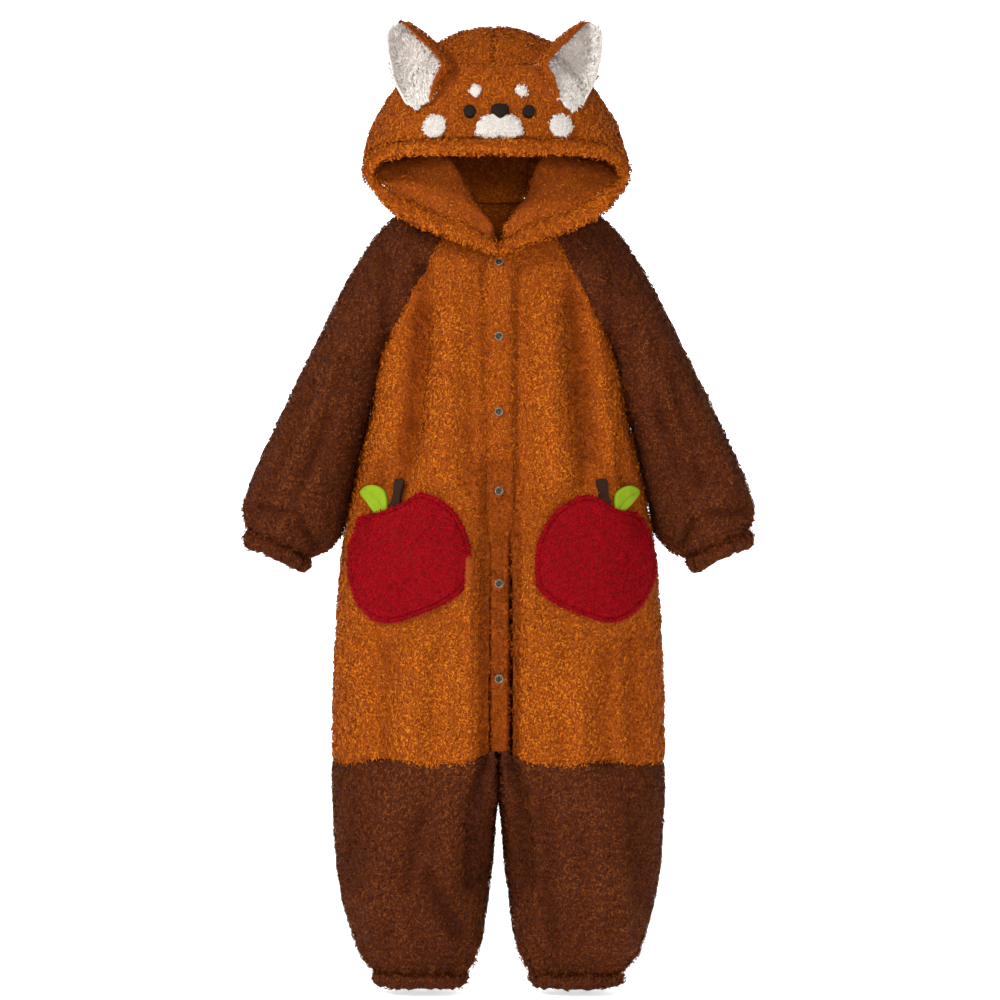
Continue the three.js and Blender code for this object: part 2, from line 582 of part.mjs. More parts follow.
/** Finds where a surface lies over (x, z) as seen from the front. */
function placeOver(surface, x, z, guess) {
  let [u, v] = guess;
  for (let round = 0; round < PLACE_ROUNDS; round += 1) {
    const here = surface(u, v);
    const du = surface(u + SLOPE_STEP, v).sub(here).multiplyScalar(1 / SLOPE_STEP);
    const dv = surface(u, v + SLOPE_STEP).sub(here).multiplyScalar(1 / SLOPE_STEP);
    const missX = x - here.x;
    const missZ = z - here.z;
    const det = du.x * dv.z - du.z * dv.x;
    u += (missX * dv.z - missZ * dv.x) / det;
    v += (missZ * du.x - missX * du.z) / det;
  }
  return [u, v];
}

/**
 * Piece that lies on a surface inside an outline seen from the front. Both skins are grids of
 * rings round the centre; `low` and `high` give their distance from the surface.
 */
function patch(options) {
  const { over, centre, outline, rings, low, high } = options;
  const count = outline.length;
  const skins = [low, high].map(height => {
    const points = [];
    rings.forEach(share => {
      for (let i = 0; i < (share === 0 ? 1 : count); i += 1) {
        const x = centre[0] + (outline[i][0] - centre[0]) * share;
        const z = centre[1] + (outline[i][1] - centre[1]) * share;
        const { point, normal } = over(x, z);
        points.push(point.addScaledVector(normal, height(share, i / count, point)));
      }
    });
    return points;
  });
  const faces = [];
  const total = skins[0].length;
  const at = (ring, i) => 1 + (ring - 1) * count + (i % count);
  [0, total].forEach((shift, skin) => {
    const add = (a, b, c) => {
      const [second, third] = skin ? [b, c] : [c, b];
      faces.push([a + shift, second + shift, third + shift]);
    };
    for (let i = 0; i < count; i += 1) {
      add(0, at(1, i), at(1, i + 1));
      for (let ring = 1; ring < rings.length - 1; ring += 1) {
        add(at(ring, i), at(ring + 1, i), at(ring + 1, i + 1));
        add(at(ring, i), at(ring + 1, i + 1), at(ring, i + 1));
      }
    }
  });
  const last = rings.length - 1;
  for (let i = 0; i < count; i += 1) {
    faces.push([at(last, i), at(last, i + 1), at(last, i + 1) + total]);
    faces.push([at(last, i), at(last, i + 1) + total, at(last, i) + total]);
  }
  return toGeometry([...skins[0], ...skins[1]], faces);
}

/** Closed smooth outline through a few points, as `count` points. */
function smoothOutline(points, count) {
  const curve = new THREE.CatmullRomCurve3(points.map(([x, z]) => new THREE.Vector3(x, 0, z)), true);
  return curve.getSpacedPoints(count).slice(0, count).map(p => [p.x, p.z]);
}

function ellipseOutline({ x, z, halfWidth, halfHeight, lean }, count) {
  return Array.from({ length: count }, (_, i) => {
    const angle = (i / count) * 2 * Math.PI;
    const across = halfWidth * Math.cos(angle);
    const up = halfHeight * Math.sin(angle);
    const dx = across * Math.cos(lean) - up * Math.sin(lean);
    const dz = across * Math.sin(lean) + up * Math.cos(lean);
    return [x + dx, z + dz];
  });
}

function toManifold(geometry) {
  const merged = mergeVertices(geometry, 1e-4);
  return new wasm.Manifold(new wasm.Mesh({
    numProp: 3,
    vertProperties: new Float32Array(merged.attributes.position.array),
    triVerts: new Uint32Array(merged.index.array),
  }));
}

function fromManifold(solid) {
  const mesh = solid.getMesh();
  const geometry = new THREE.BufferGeometry();
  geometry.setAttribute('position', new THREE.Float32BufferAttribute(mesh.vertProperties, 3));
  geometry.setIndex(Array.from(mesh.triVerts));
  return geometry;
}

/** Grid options of each wall by name, for the pieces that lie against it. */
const walls = new Map();

function addWall(name, options, colour, cutBy = []) {
  walls.set(name, options);
  const geometry = wall(options);
  addPiece(name, cutBy.length ? cut(geometry, cutBy) : geometry, colour);
}

/**
 * Takes the named walls, grown by the seam gap, off a piece and keeps its largest part. With a
 * `depth`, what lies that far behind the walls goes too.
 */
function cut(geometry, names, depth = 0) {
  let solid = toManifold(geometry);
  for (const name of names) {
    const options = walls.get(name);
    const grown = { ...options, out: (options.out ?? 0) + SEAM_GAP, deep: (options.deep ?? WALL) + SEAM_GAP };
    solid = solid.subtract(toManifold(wall(grown)));
    if (depth > 0) solid = solid.subtract(toManifold(wall({ ...grown, deep: depth })));
  }
  const bySize = solid.decompose().sort((a, b) => b.volume() - a.volume());
  return fromManifold(bySize[0]);
}

// ---------------------------------------------------------------- body

const SIDES = [{ name: 'left', mirror: true, sign: -1 }, { name: 'right', mirror: false, sign: 1 }];
const bodyLength = -WAIST_SEAM_Z;
const ROWS = { shoulder: 8, trunk: 13 };
const WAIST_UPRIGHT = { from: 0.93, to: 0.99 };
const HALF_FRONT_WIDTH = 200;
const BACK_WIDTH = 300;

/** Row spacing of front and back, so that their rows meet the yokes' rows at the raglan seams. */
function bodySpacing(share) {
  const underarm = UNDERARM_ROW / (FRONT_ROWS.length - 1);
  const row = share * (ROWS.shoulder + ROWS.trunk);
  if (row <= ROWS.shoulder) return underarm * (row / ROWS.shoulder);
  return underarm + (1 - underarm) * ((row - ROWS.shoulder) / ROWS.trunk);
}
/** Walls stand upright where they meet the waist seam. */
const uprightAtWaist = v => 1 - ramp(v, WAIST_UPRIGHT.from, WAIST_UPRIGHT.to);

function addFronts() {
  for (const { name, mirror } of SIDES) {
    const startX = (mirror ? -BAND.left : BAND.right) + SEAM_GAP;
    const surface = bodyPanel(FRONT_ROWS, startX);
    addWall(`front_${name}`, {
      surface, side: -1, u: inset([0, 1], HALF_FRONT_WIDTH), v: inset([0, 1], bodyLength), columns: 8, mirror,
      rows: ROWS.shoulder + ROWS.trunk, spacing: bodySpacing, upright: uprightAtWaist, relief: foldHeight,
    }, 'orange');
  }
}

function addBack() {
  const half = bodyPanel(BACK_ROWS, 0);
  const surface = (u, v) => (u < 0 ? mirrorX(half(-u, v)) : half(u, v));
  addWall('back', {
    surface, side: 1, u: inset([-1, 1], BACK_WIDTH), v: inset([0, 1], bodyLength), columns: 14,
    rows: ROWS.shoulder + ROWS.trunk, spacing: bodySpacing, upright: uprightAtWaist, relief: foldHeight,
  }, 'orange');
}

function addButtonBand() {
  const surface = frontStrip(BAND.left, BAND.right);
  addWall('button_band', {
    surface, side: -1, u: [0, 1], v: BAND.span, columns: 2, rows: ROWS.shoulder + ROWS.trunk,
    out: BAND.raise, deep: BAND.thickness - BAND.raise, relief: foldHeight,
  }, 'orange');
}

const SIDE_GUESS = 0.8;

/** Point and normal of the body's front over (x, z), folds included. */
function overFront(x, z) {
  const surface = bodyPanel(FRONT_ROWS, 0);
  const rowGuess = FRONT_ROWS.findIndex(row => row.centreZ < z);
  const row = FRONT_ROWS[rowGuess];
  const guess = [Math.min(Math.abs(x) / row.seamX, SIDE_GUESS), rowGuess / (FRONT_ROWS.length - 1)];
  const [u, v] = placeOver(surface, Math.abs(x), z, guess);
  const { point, normal } = frameAt(surface, -1, u, v);
  if (x < 0) {
    point.x = -point.x;
    normal.x = -normal.x;
  }
  return { point: point.addScaledVector(normal, foldHeight(point)), normal };
}

function addButtons() {
  const rim = BUTTON.rim / BUTTON.radius;
  const bevel = BUTTON.bevel / BUTTON.radius;
  const base = BAND.raise + SEAM_GAP;
  BUTTON_HEIGHTS.forEach((z, index) => {
    const { point: seat, normal } = overFront(BUTTON.x, z);
    const circle = { x: BUTTON.x, z, halfWidth: BUTTON.radius, halfHeight: BUTTON.radius, lean: 0 };
    const up = normal.clone().cross(new THREE.Vector3(1, 0, 0)).normalize();
    const flat = (x, height) => ({
      point: seat.clone().add(new THREE.Vector3(x - BUTTON.x, 0, 0)).addScaledVector(up, z - height),
      normal,
    });
    const geometry = patch({
      over: flat,
      centre: [BUTTON.x, z],
      outline: ellipseOutline(circle, BUTTON.sides),
      rings: [0, rim - bevel, rim + bevel, 1],
      low: () => base - SINK,
      high: share => base + BUTTON.thickness - (share < rim ? BUTTON.recess : 0),
    });
    addPiece(`button_${index + 1}`, cut(geometry, ['button_band']), 'metal');
  });
}

/** Gathers of a cuff: ridges evenly round it, at the wall's own columns. */
const ripple = count => (point, u) => CUFF_RIPPLE.height * Math.cos(u * 2 * Math.PI * count);
const SLEEVE_START = 0.004;
const WRIST_START = 0.02;

function addYokesAndSleeves() {
  const yoke = yokeSurface();
  const sleeve = armTube(SLEEVE_RINGS);
  const wrist = armTube(WRIST_RINGS);
  for (const { name, mirror } of SIDES) {
    addWall(`yoke_${name}`, {
      surface: yoke, side: -1, u: YOKE.span, v: inset([0, 1], YOKE.reach), columns: 8, rows: ROWS.shoulder,
      mirror, relief: foldHeight,
    }, 'brown', [`front_${name}`, 'back']);
    addPiece(`sleeve_${name}`, wall({
      surface: sleeve, side: -1, u: [0, 1], v: [SLEEVE_START, 1], columns: 16, rows: 10, ring: true, mirror,
      relief: foldHeight,
    }), 'brown');
    addPiece(`wrist_cuff_${name}`, wall({
      surface: wrist, side: -1, u: [0, 1], v: [WRIST_START, 1], columns: 2 * CUFF_RIPPLE.wrist, rows: 1,
      ring: true, mirror, relief: ripple(CUFF_RIPPLE.wrist),
    }), 'brown');
  }
}

function addLegs() {
  const leg = legTube();
  const ankle = ankleTube();
  for (const { name, mirror } of SIDES) {
    addPiece(`lower_leg_${name}`, wall({
      surface: leg, side: -1, u: [0, 1], v: LEG.span, columns: 20, rows: 10, ring: true, mirror,
      upright: v => ramp(v, LEG.uprightFrom, LEG.uprightTo), relief: foldHeight,
    }), 'brown');
    addPiece(`ankle_cuff_${name}`, wall({
      surface: ankle, side: -1, u: [0, 1], v: [0, 1], columns: 2 * CUFF_RIPPLE.ankle, rows: 1,
      ring: true, mirror, relief: ripple(CUFF_RIPPLE.ankle),
    }), 'brown');
  }
}

// ---------------------------------------------------------------- hood

const HOOD_SIDE = -1;
const HALF_WALL = WALL / 2;
const HOOD_SEAM = 0.006;
const HOOD_EDGE = 0.01;
/** Rough size of a rib step and of the face panel, to start the search for a place on the hood. */
const FACE_GUESS = { ribWidth: 95, fromZ: 100, rowHeight: 50 };
const hoodAcross = (from, to) => [from + HOOD_EDGE, to - HOOD_EDGE];
const mirroredRib = rib => 2 * RIB.middle - rib;

/** Point and normal of the hood's middle layer over (x, z) of its face. */
function overHood(x, z) {
  const guess = [RIB.middle - (x - HOOD_LEAN.shift) / FACE_GUESS.ribWidth,
    1 + (z - FACE_GUESS.fromZ) / FACE_GUESS.rowHeight];
  const [u, v] = placeOver(hoodSurface, x, z, guess);
  return frameAt(hoodSurface, HOOD_SIDE, u, v);
}

function addHoodPanels() {
  const panel = (name, fromRib, toRib, across, columns, rows) => {
    addWall(name, {
      surface: hoodSurface, side: HOOD_SIDE, out: HALF_WALL, deep: HALF_WALL,
      u: [fromRib, toRib], v: hoodAcross(...across), columns, rows,
    }, 'orange');
  };
  const { throat, faceSide, middle } = RIB;
  panel('hood_face', faceSide, mirroredRib(faceSide), [1, 3], 18, 4);
  panel('hood_crown_right', faceSide, middle - HOOD_SEAM / 2, [3, 7], 9, 8);
  panel('hood_crown_left', middle + HOOD_SEAM / 2, mirroredRib(faceSide), [3, 7], 9, 8);
  walls.set('hood_shell', {
    surface: hoodSurface, side: HOOD_SIDE, out: HALF_WALL, deep: HALF_WALL,
    u: [faceSide, mirroredRib(faceSide)], v: hoodAcross(1, 7), columns: 18, rows: 12,
  });
  panel('hood_side_right', throat, faceSide - 2 * HOOD_SEAM, [1, 7], 9, 12);
  panel('hood_side_left', mirroredRib(faceSide) + 2 * HOOD_SEAM, mirroredRib(throat), [1, 7], 9, 12);
}

/** Padded fold-over hem round the face opening, a plump strip from throat to throat. */
function addHoodHem() {
  const sections = [];
  for (let i = 0; i <= HEM.segments; i += 1) {
    const rib = RIB.throat + (mirroredRib(RIB.throat) - RIB.throat) * (i / HEM.segments);
    const rim = hoodSurface(rib, 0);
    const sewn = hoodSurface(rib, 1);
    const { normal } = frameAt(hoodSurface, HOOD_SIDE, rib, 0.5);
    const middle = rim.clone().add(sewn).multiplyScalar(0.5);
    const reach = sewn.clone().sub(rim).multiplyScalar(0.5);
    const plump = HEM.thickness / 2 + HEM.lump * Math.sin(i * HEM.lumpStep);
    sections.push(Array.from({ length: HEM.sides }, (_, k) => {
      const angle = (k / HEM.sides) * 2 * Math.PI;
      const along = reach.clone().setLength(reach.length() - 3 * SEAM_GAP).multiplyScalar(Math.cos(angle));
      return middle.clone().add(along).addScaledVector(normal, plump * Math.sin(angle));
    }));
  }
  const points = sections.flat();
  const faces = [];
  const sides = HEM.sides;
  for (let i = 0; i < HEM.segments; i += 1) {
    for (let k = 0; k < sides; k += 1) {
      const a = i * sides + k;
      const b = i * sides + (k + 1) % sides;
      faces.push([a, b, b + sides], [a, b + sides, a + sides]);
    }
  }
  const lastSection = HEM.segments * sides;
  for (let k = 1; k < sides - 1; k += 1) {
    faces.push([0, k + 1, k], [lastSection, lastSection + k, lastSection + k + 1]);
  }
  const hem = cut(toGeometry(points, faces), ['hood_shell', 'hood_side_left', 'hood_side_right']);
  addPiece('hood_hem', hem, 'orange');
}

function addNeckTape() {
  const tape = wall({
    surface: hoodSurface, side: HOOD_SIDE, out: SINK - HALF_WALL, deep: HALF_WALL + NECK_TAPE.wall,
    u: [NECK_TAPE.rib, mirroredRib(NECK_TAPE.rib)], v: [NECK_TAPE.from, NECK_TAPE.to], columns: 8, rows: 1,
  });
  addPiece('neck_tape', cut(tape, ['hood_shell']), 'orange');
}

/** Bowl of the right ear: u goes round the open bowl, v from the root to the tip. */
function earSurface() {
  const outward = new THREE.Vector3(Math.cos(EAR.turn), Math.sin(EAR.turn), 0);
  const backward = new THREE.Vector3(-Math.sin(EAR.turn), Math.cos(EAR.turn), 0);
  return loft(EAR_ROWS.map(row => u => {
    const angle = -EAR.curl + (Math.PI + 2 * EAR.curl) * u;
    const point = new THREE.Vector3(row.x, row.y, row.z);
    point.addScaledVector(outward, row.halfWidth * Math.cos(angle));
    return point.addScaledVector(backward, row.depth * Math.sin(angle));
  }));
}

function addEars() {
  const half = earSurface();
  for (const { name, mirror, sign } of SIDES) {
    const surface = (u, v) => {
      const point = half(u, v);
      return new THREE.Vector3(sign * point.x + HOOD_LEAN.shift, point.y, point.z);
    };
    const bowl = { surface, side: sign };
    const { columns, rows } = EAR;
    const shell = wall({ ...bowl, u: [0, 1], v: [0, 1], deep: EAR.wall, columns, rows });
    const inside = EAR.wall + SEAM_GAP;
    const edge = 1 / columns;
    const lining = wall({
      ...bowl, u: [edge, 1 - edge], v: [0, 1 - 1 / rows], out: -inside, deep: inside + EAR.liningWall,
      columns: columns - 2, rows: rows - 1,
    });
    addPiece(`ear_back_${name}`, cut(shell, ['hood_shell'], HOOD_CUTTER_DEPTH), 'orange');
    addPiece(`ear_lining_${name}`, cut(lining, ['hood_shell'], HOOD_CUTTER_DEPTH), 'white');
  }
}

const CUSHION = { rings: [0, 0.55, 0.85, 1], edge: 0.35 };

/** Plush piece on the hood's face: a low cushion inside an outline. */
function facePiece({ centre, outline, rise }, grow = 1) {
  const base = HALF_WALL;
  return patch({
    over: overHood,
    centre,
    outline: outline.map(point => point.map((value, k) => centre[k] + (value - centre[k]) * grow)),
    rings: CUSHION.rings,
    low: () => base - SINK,
    high: share => base + rise * (CUSHION.edge + (1 - CUSHION.edge) * Math.sqrt(1 - share * share)),
  });
}

function addFace() {
  for (const dot of FACE_DOTS) {
    const piece = { centre: [dot.x, dot.z], outline: ellipseOutline(dot, 12), rise: dot.rise };
    addPiece(dot.name, cut(facePiece(piece), ['hood_shell']), dot.colour);
  }
  const nose = { ...NOSE, outline: smoothOutline(NOSE.outline, 14) };
  const muzzle = { ...MUZZLE, outline: smoothOutline(MUZZLE.outline, 22) };
  const noseSocket = facePiece({ ...nose, rise: NOSE.socket.rise }, NOSE.socket.grow);
  const notched = fromManifold(toManifold(facePiece(muzzle)).subtract(toManifold(noseSocket)));
  addPiece('nose', cut(facePiece(nose), ['hood_shell']), 'dark');
  addPiece('muzzle', cut(notched, ['hood_shell']), 'white');
}

// ---------------------------------------------------------------- pockets

function addPockets() {
  for (const pocket of POCKETS) {
    const mouth = turn => {
      const along = Math.max(Math.sin((Math.PI * turn) / POCKET.mouthShare), 0);
      return turn < POCKET.mouthShare ? Math.min(POCKET.mouthSteep * along, 1) : 0;
    };
    const front = [`front_${pocket.name}`];
    const low = (share, turn) => POCKET.belly * (1 - share ** 4) - SINK * share ** 4
      + POCKET.mouthGap * mouth(turn) * share ** 2;
    const pouch = patch({
      over: overFront,
      centre: pocket.centre,
      outline: smoothOutline(pocket.outline, 26),
      rings: [0, 0.35, 0.65, 0.88, 1],
      low,
      high: (share, turn) => {
        const filled = POCKET.plump * (1 - share ** 2) + SINK * share ** 4;
        return low(share, turn) + POCKET.wall + filled;
      },
    });
    addPiece(`pocket_${pocket.name}`, cut(pouch, front), 'red');
    const felt = { over: overFront, low: () => -SINK, high: () => SEAM_GAP + FELT };
    const leafCentre = [0, 1].map(k => pocket.leaf.reduce((sum, p) => sum + p[k], 0) / pocket.leaf.length);
    const leafOutline = smoothOutline(pocket.leaf, 14);
    const leaf = patch({ ...felt, centre: leafCentre, outline: leafOutline, rings: [0, 0.6, 1] });
    addPiece(`leaf_${pocket.name}`, cut(leaf, front), 'leaf');
    const { top, bottom, halfWidth } = pocket.stem;
    const stemCentre = [(top[0] + bottom[0]) / 2, (top[1] + bottom[1]) / 2];
    const beside = ([x, z], side) => [x + side * halfWidth, z];
    const stemOutline = [beside(bottom, -1), beside(bottom, 1), beside(stemCentre, 1), beside(top, 1),
      beside(top, -1), beside(stemCentre, -1)];
    const stem = patch({ ...felt, centre: stemCentre, outline: stemOutline, rings: [0, 1] });
    addPiece(`stem_${pocket.name}`, cut(stem, front), 'stem');
  }
}

addFronts();
addBack();
addButtonBand();
addButtons();
addYokesAndSleeves();
addLegs();
addHoodPanels();
addHoodHem();
addNeckTape();
addEars();
addFace();
addPockets();

export default group;
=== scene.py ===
import math
from collections import namedtuple

import bpy
import numpy as np
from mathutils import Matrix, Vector
from mathutils.bvhtree import BVHTree
from numpy.linalg import norm


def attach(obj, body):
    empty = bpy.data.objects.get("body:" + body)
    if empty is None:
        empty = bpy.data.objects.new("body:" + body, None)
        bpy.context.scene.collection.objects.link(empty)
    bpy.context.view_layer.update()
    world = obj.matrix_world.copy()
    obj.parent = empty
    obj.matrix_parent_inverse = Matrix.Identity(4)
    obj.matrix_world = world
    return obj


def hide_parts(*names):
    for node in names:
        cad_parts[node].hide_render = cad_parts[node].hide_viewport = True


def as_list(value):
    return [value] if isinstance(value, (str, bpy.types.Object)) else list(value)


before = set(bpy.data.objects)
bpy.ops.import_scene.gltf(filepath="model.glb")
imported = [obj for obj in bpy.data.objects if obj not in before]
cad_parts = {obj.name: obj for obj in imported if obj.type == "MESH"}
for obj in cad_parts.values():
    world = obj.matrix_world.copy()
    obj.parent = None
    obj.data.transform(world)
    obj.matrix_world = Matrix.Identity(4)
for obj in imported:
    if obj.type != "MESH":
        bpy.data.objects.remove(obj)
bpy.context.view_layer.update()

# A hooded costume onesie of curly fleece. Lengths in the tables are millimetres in the frame's axes:
# +Z up, the front faces -Y. Meshes are scaled to metres where they are made.
MM = 0.001

# ---------------------------------------------------------------- the garment's forms

SQUARENESS = 2.3
UNDERARM_ROW = 6
WAIST_SEAM_Z = -713
CROTCH_DROP = -8
CROTCH_CORNER = 0.375
WALL = 5
HALF_WALL = WALL / 2

BodyRow = namedtuple("BodyRow", "centre_y centre_z seam_x seam_y seam_z")
# Below the underarm front and back share their heights: y of the front and the back, z, x of the seam.
LOWER_ROWS = [
    (-95, 86, -172, 152), (-100, 90, -236, 166), (-104, 94, -290, 180), (-107, 97, -347, 193),
    (-110, 100, -410, 205), (-112, 103, -475, 212), (-112, 105, -541, 216), (-110, 105, -600, 219),
    (-108, 103, -657, 220), (-105, 100, WAIST_SEAM_Z, 220)]
FRONT_ROWS = [BodyRow(*row) for row in [
    (-77, -31, 63, -49, 1), (-80, -48, 79, -62, -24), (-84, -68, 93, -69, -50), (-88, -92, 106, -70, -76),
    (-91, -118, 120, -64, -104), (-93, -144, 135, -46, -135),
    *[(front, z, seam_x, 0, z) for front, _, z, seam_x in LOWER_ROWS]]]
BACK_ROWS = [BodyRow(*row) for row in [
    (58, 39, 70, 25, 43), (68, 20, 86, 46, 12), (75, -8, 100, 58, -22), (80, -42, 113, 62, -60),
    (83, -82, 125, 58, -98), (85, -128, 138, 42, -136),
    *[(back, z, seam_x, 0, z) for _, back, z, seam_x in LOWER_ROWS]]]

ArmRing = namedtuple("ArmRing", "outer_x outer_z inner_x inner_z half_depth")
SLEEVE_RINGS = [ArmRing(*ring) for ring in [
    (212, -95, 153, -174, 57), (233, -138, 158, -204, 60), (254, -181, 165, -236, 63),
    (275, -224, 173, -272, 65), (294, -264, 182, -308, 66), (313, -304, 190, -345, 66),
    (329, -341, 198, -381, 63), (336, -368, 205, -408, 57), (335, -388, 224, -428, 49),
    (331, -401, 248, -438, 40)]]
WRIST_RINGS = [ArmRing(*ring) for ring in [
    (331, -401.5, 248.5, -438.5, 38), (336, -411, 247, -448, 42), (334, -423, 254, -458, 39),
    (325, -429, 265, -458, 32)]]

LegRing = namedtuple("LegRing", "z outer inner front back squareness inner_squareness", defaults=(2.3,))
LEG_RINGS = [LegRing(*ring) for ring in [
    (-757, 219, 1.5, -101, 97, 2.4, 4.5), (-799, 217, 4.5, -97, 93, 2.3, 2.8), (-838, 214.5, 7, -92, 88, 2.3),
    (-878, 209, 12, -86, 82, 2.2), (-914, 200, 17, -79, 76, 2.1), (-942, 191, 21, -70, 68, 2),
    (-965, 179, 30, -59, 58, 2), (-983, 163, 41, -49, 48, 2)]]
ANKLE_RINGS = [LegRing(*ring) for ring in [
    (-983.5, 161, 43, -47, 46, 2), (-990, 165, 39, -51, 50, 2), (-999, 163, 42, -49, 48, 2),
    (-1006, 155, 50, -43, 42, 2)]]

# Ribs of the hood's half from the throat to the middle of the crown, each from the rim to the neck.
RIB_POINTS = "rim band lapel fold crest inner nape".split()
HoodRib = namedtuple("HoodRib", RIB_POINTS)
HOOD_RIBS = [HoodRib(*rib) for rib in [
    ((7, -99, -46), (10, -95, -24), (9, -91, -15), (8, -87, -9), (8, -81, -8), (7, -76, -12), (6, -74, -20)),
    ((51, -104, -29), (43, -94, -3), (40, -87, 10), (37, -78, 22), (34, -67, 26), (34, -60, 17),
     (36, -60, 0)),
    ((107, -100, -8), (95, -90, 17), (88, -80, 41), (78, -66, 68), (66, -52, 84), (58, -41, 66),
     (59, -41, 36)),
    ((147, -98, 18), (142, -88, 42), (140, -68, 62), (129, -42, 80), (110, -20, 86), (88, -10, 75),
     (78, -14, 52)),
    ((162, -96, 54), (169, -72, 68), (169, -40, 82), (160, 0, 96), (135, 34, 97), (105, 38, 82),
     (86, 24, 62)),
    ((143, -110, 76), (153, -90, 94), (155, -52, 118), (141, 10, 151), (118, 70, 152), (98, 84, 112),
     (77, 62, 74)),
    ((92, -138, 80), (98, -126, 101), (110, -94, 150), (91, -62, 199), (88, 20, 230), (76, 92, 186),
     (52, 92, 104)),
    ((0, -155, 79), (0, -144, 101), (0, -113, 154), (0, -88, 203), (0, -10, 260), (0, 92, 216),
     (0, 104, 112))]]
MIDDLE_RIB = 7
FACE_SIDE_RIB = 4.55
# Where the neckline starts, its ribs at the raglan seams, and how far the hood stands above it.
THROAT_X = 5
FRONT_RAGLAN = 2
BACK_RAGLAN = 4.75
NECK_LIFT = 0.9
# The hood leans to one side by this much, from the first height to the second.
HOOD_SHIFT = -5
HOOD_LEAN = (20, 110)
SHOULDER_NECK = [(63, -49, 1), (76, -22, 26), (79, 4, 40), (70, 25, 43)]

YokeLine = namedtuple("YokeLine", "share inner middle outer")
YOKE_LINES = [
    YokeLine(0.25, (96, -48, 3), (128, -63, -42), (160, -62, -91)),
    YokeLine(0.5, (112, 2, 29), (158, 1, -7), (192, 0, -58)),
    YokeLine(0.75, (98, 42, 16), (130, 58, -32), (160, 57, -86))]

EarRow = namedtuple("EarRow", "z x y half_width depth")
EAR_ROWS = [EarRow(*row) for row in [
    (137, 96, -96, 15, 19), (157, 97, -93, 25, 31), (180, 98, -89, 36, 40), (199, 95, -84, 44, 46),
    (218, 102, -77, 39, 48), (242, 115, -68, 26, 40), (255, 120, -62, 15, 27), (263, 121, -59, 4, 12)]]
EAR = {"turn": 0.6, "curl": 0.25, "wall": 4.5, "lining": 1.5}

BAND = {"left": -15, "right": 19, "raise": 7.5, "low": -1}
BAND_RISE = (-450, -330)
BUTTON_X = 0.5
BUTTON_HEIGHTS = [-54, -151, -249, -351, -471, -594]
HEM_THICKNESS = 17

# Soft ridges (height above 0) and troughs (below 0): a line from top to bottom and its half width.
Fold = namedtuple("Fold", "x0 z0 x1 z1 width height")
FRONT_FOLDS = [Fold(*fold) for fold in [
    (0, -330, 0, -690, 26, -9), (-98, -125, -116, -300, 14, -6), (101, -108, 124, -300, 14, -6),
    (-60, -150, -72, -300, 20, 4), (62, -130, 78, -330, 20, 4), (-105, -620, -112, -690, 45, 6),
    (105, -620, 112, -700, 45, 6), (-97, -545, -110, -693, 15, 4), (68, -545, 114, -680, 15, 4),
    (-143, -560, -143, -700, 12, -5), (141, -560, 141, -707, 12, -5), (-148, -45, -146, -150, 9, -4),
    (150, -50, 145, -145, 9, -3), (-123, -730, -163, -911, 17, 6), (-90, -851, -51, -924, 12, -6),
    (121, -746, 167, -944, 17, 6), (174, -759, 187, -880, 10, -4), (60, -860, 75, -940, 11, -4),
    (-213, -185, -275, -337, 14, 5), (-245, -210, -300, -350, 10, -4), (193, -160, 250, -300, 14, 5),
    (226, -198, 262, -337, 10, -5)]]
BACK_FOLDS = [Fold(*fold) for fold in [
    (0, -560, 0, -700, 24, -8), (-96, -120, -118, -330, 15, -5), (94, -135, 124, -370, 15, -6),
    (-30, -260, -48, -420, 22, 4), (44, -300, 30, -470, 22, 4), (105, -600, 112, -690, 45, 6),
    (-105, -610, -110, -700, 45, 6), (-140, -540, -150, -690, 13, -5), (138, -560, 144, -700, 13, -5),
    (118, -740, 158, -920, 17, 6), (-120, -735, -150, -900, 17, 5), (-70, -850, -60, -930, 12, -5),
    (72, -840, 66, -925, 12, -5), (-218, -190, -272, -330, 14, 5), (205, -180, 262, -320, 14, 5)]]
FOLD_FADE_DEPTH = 35
FOLD_GAIN = 1.6

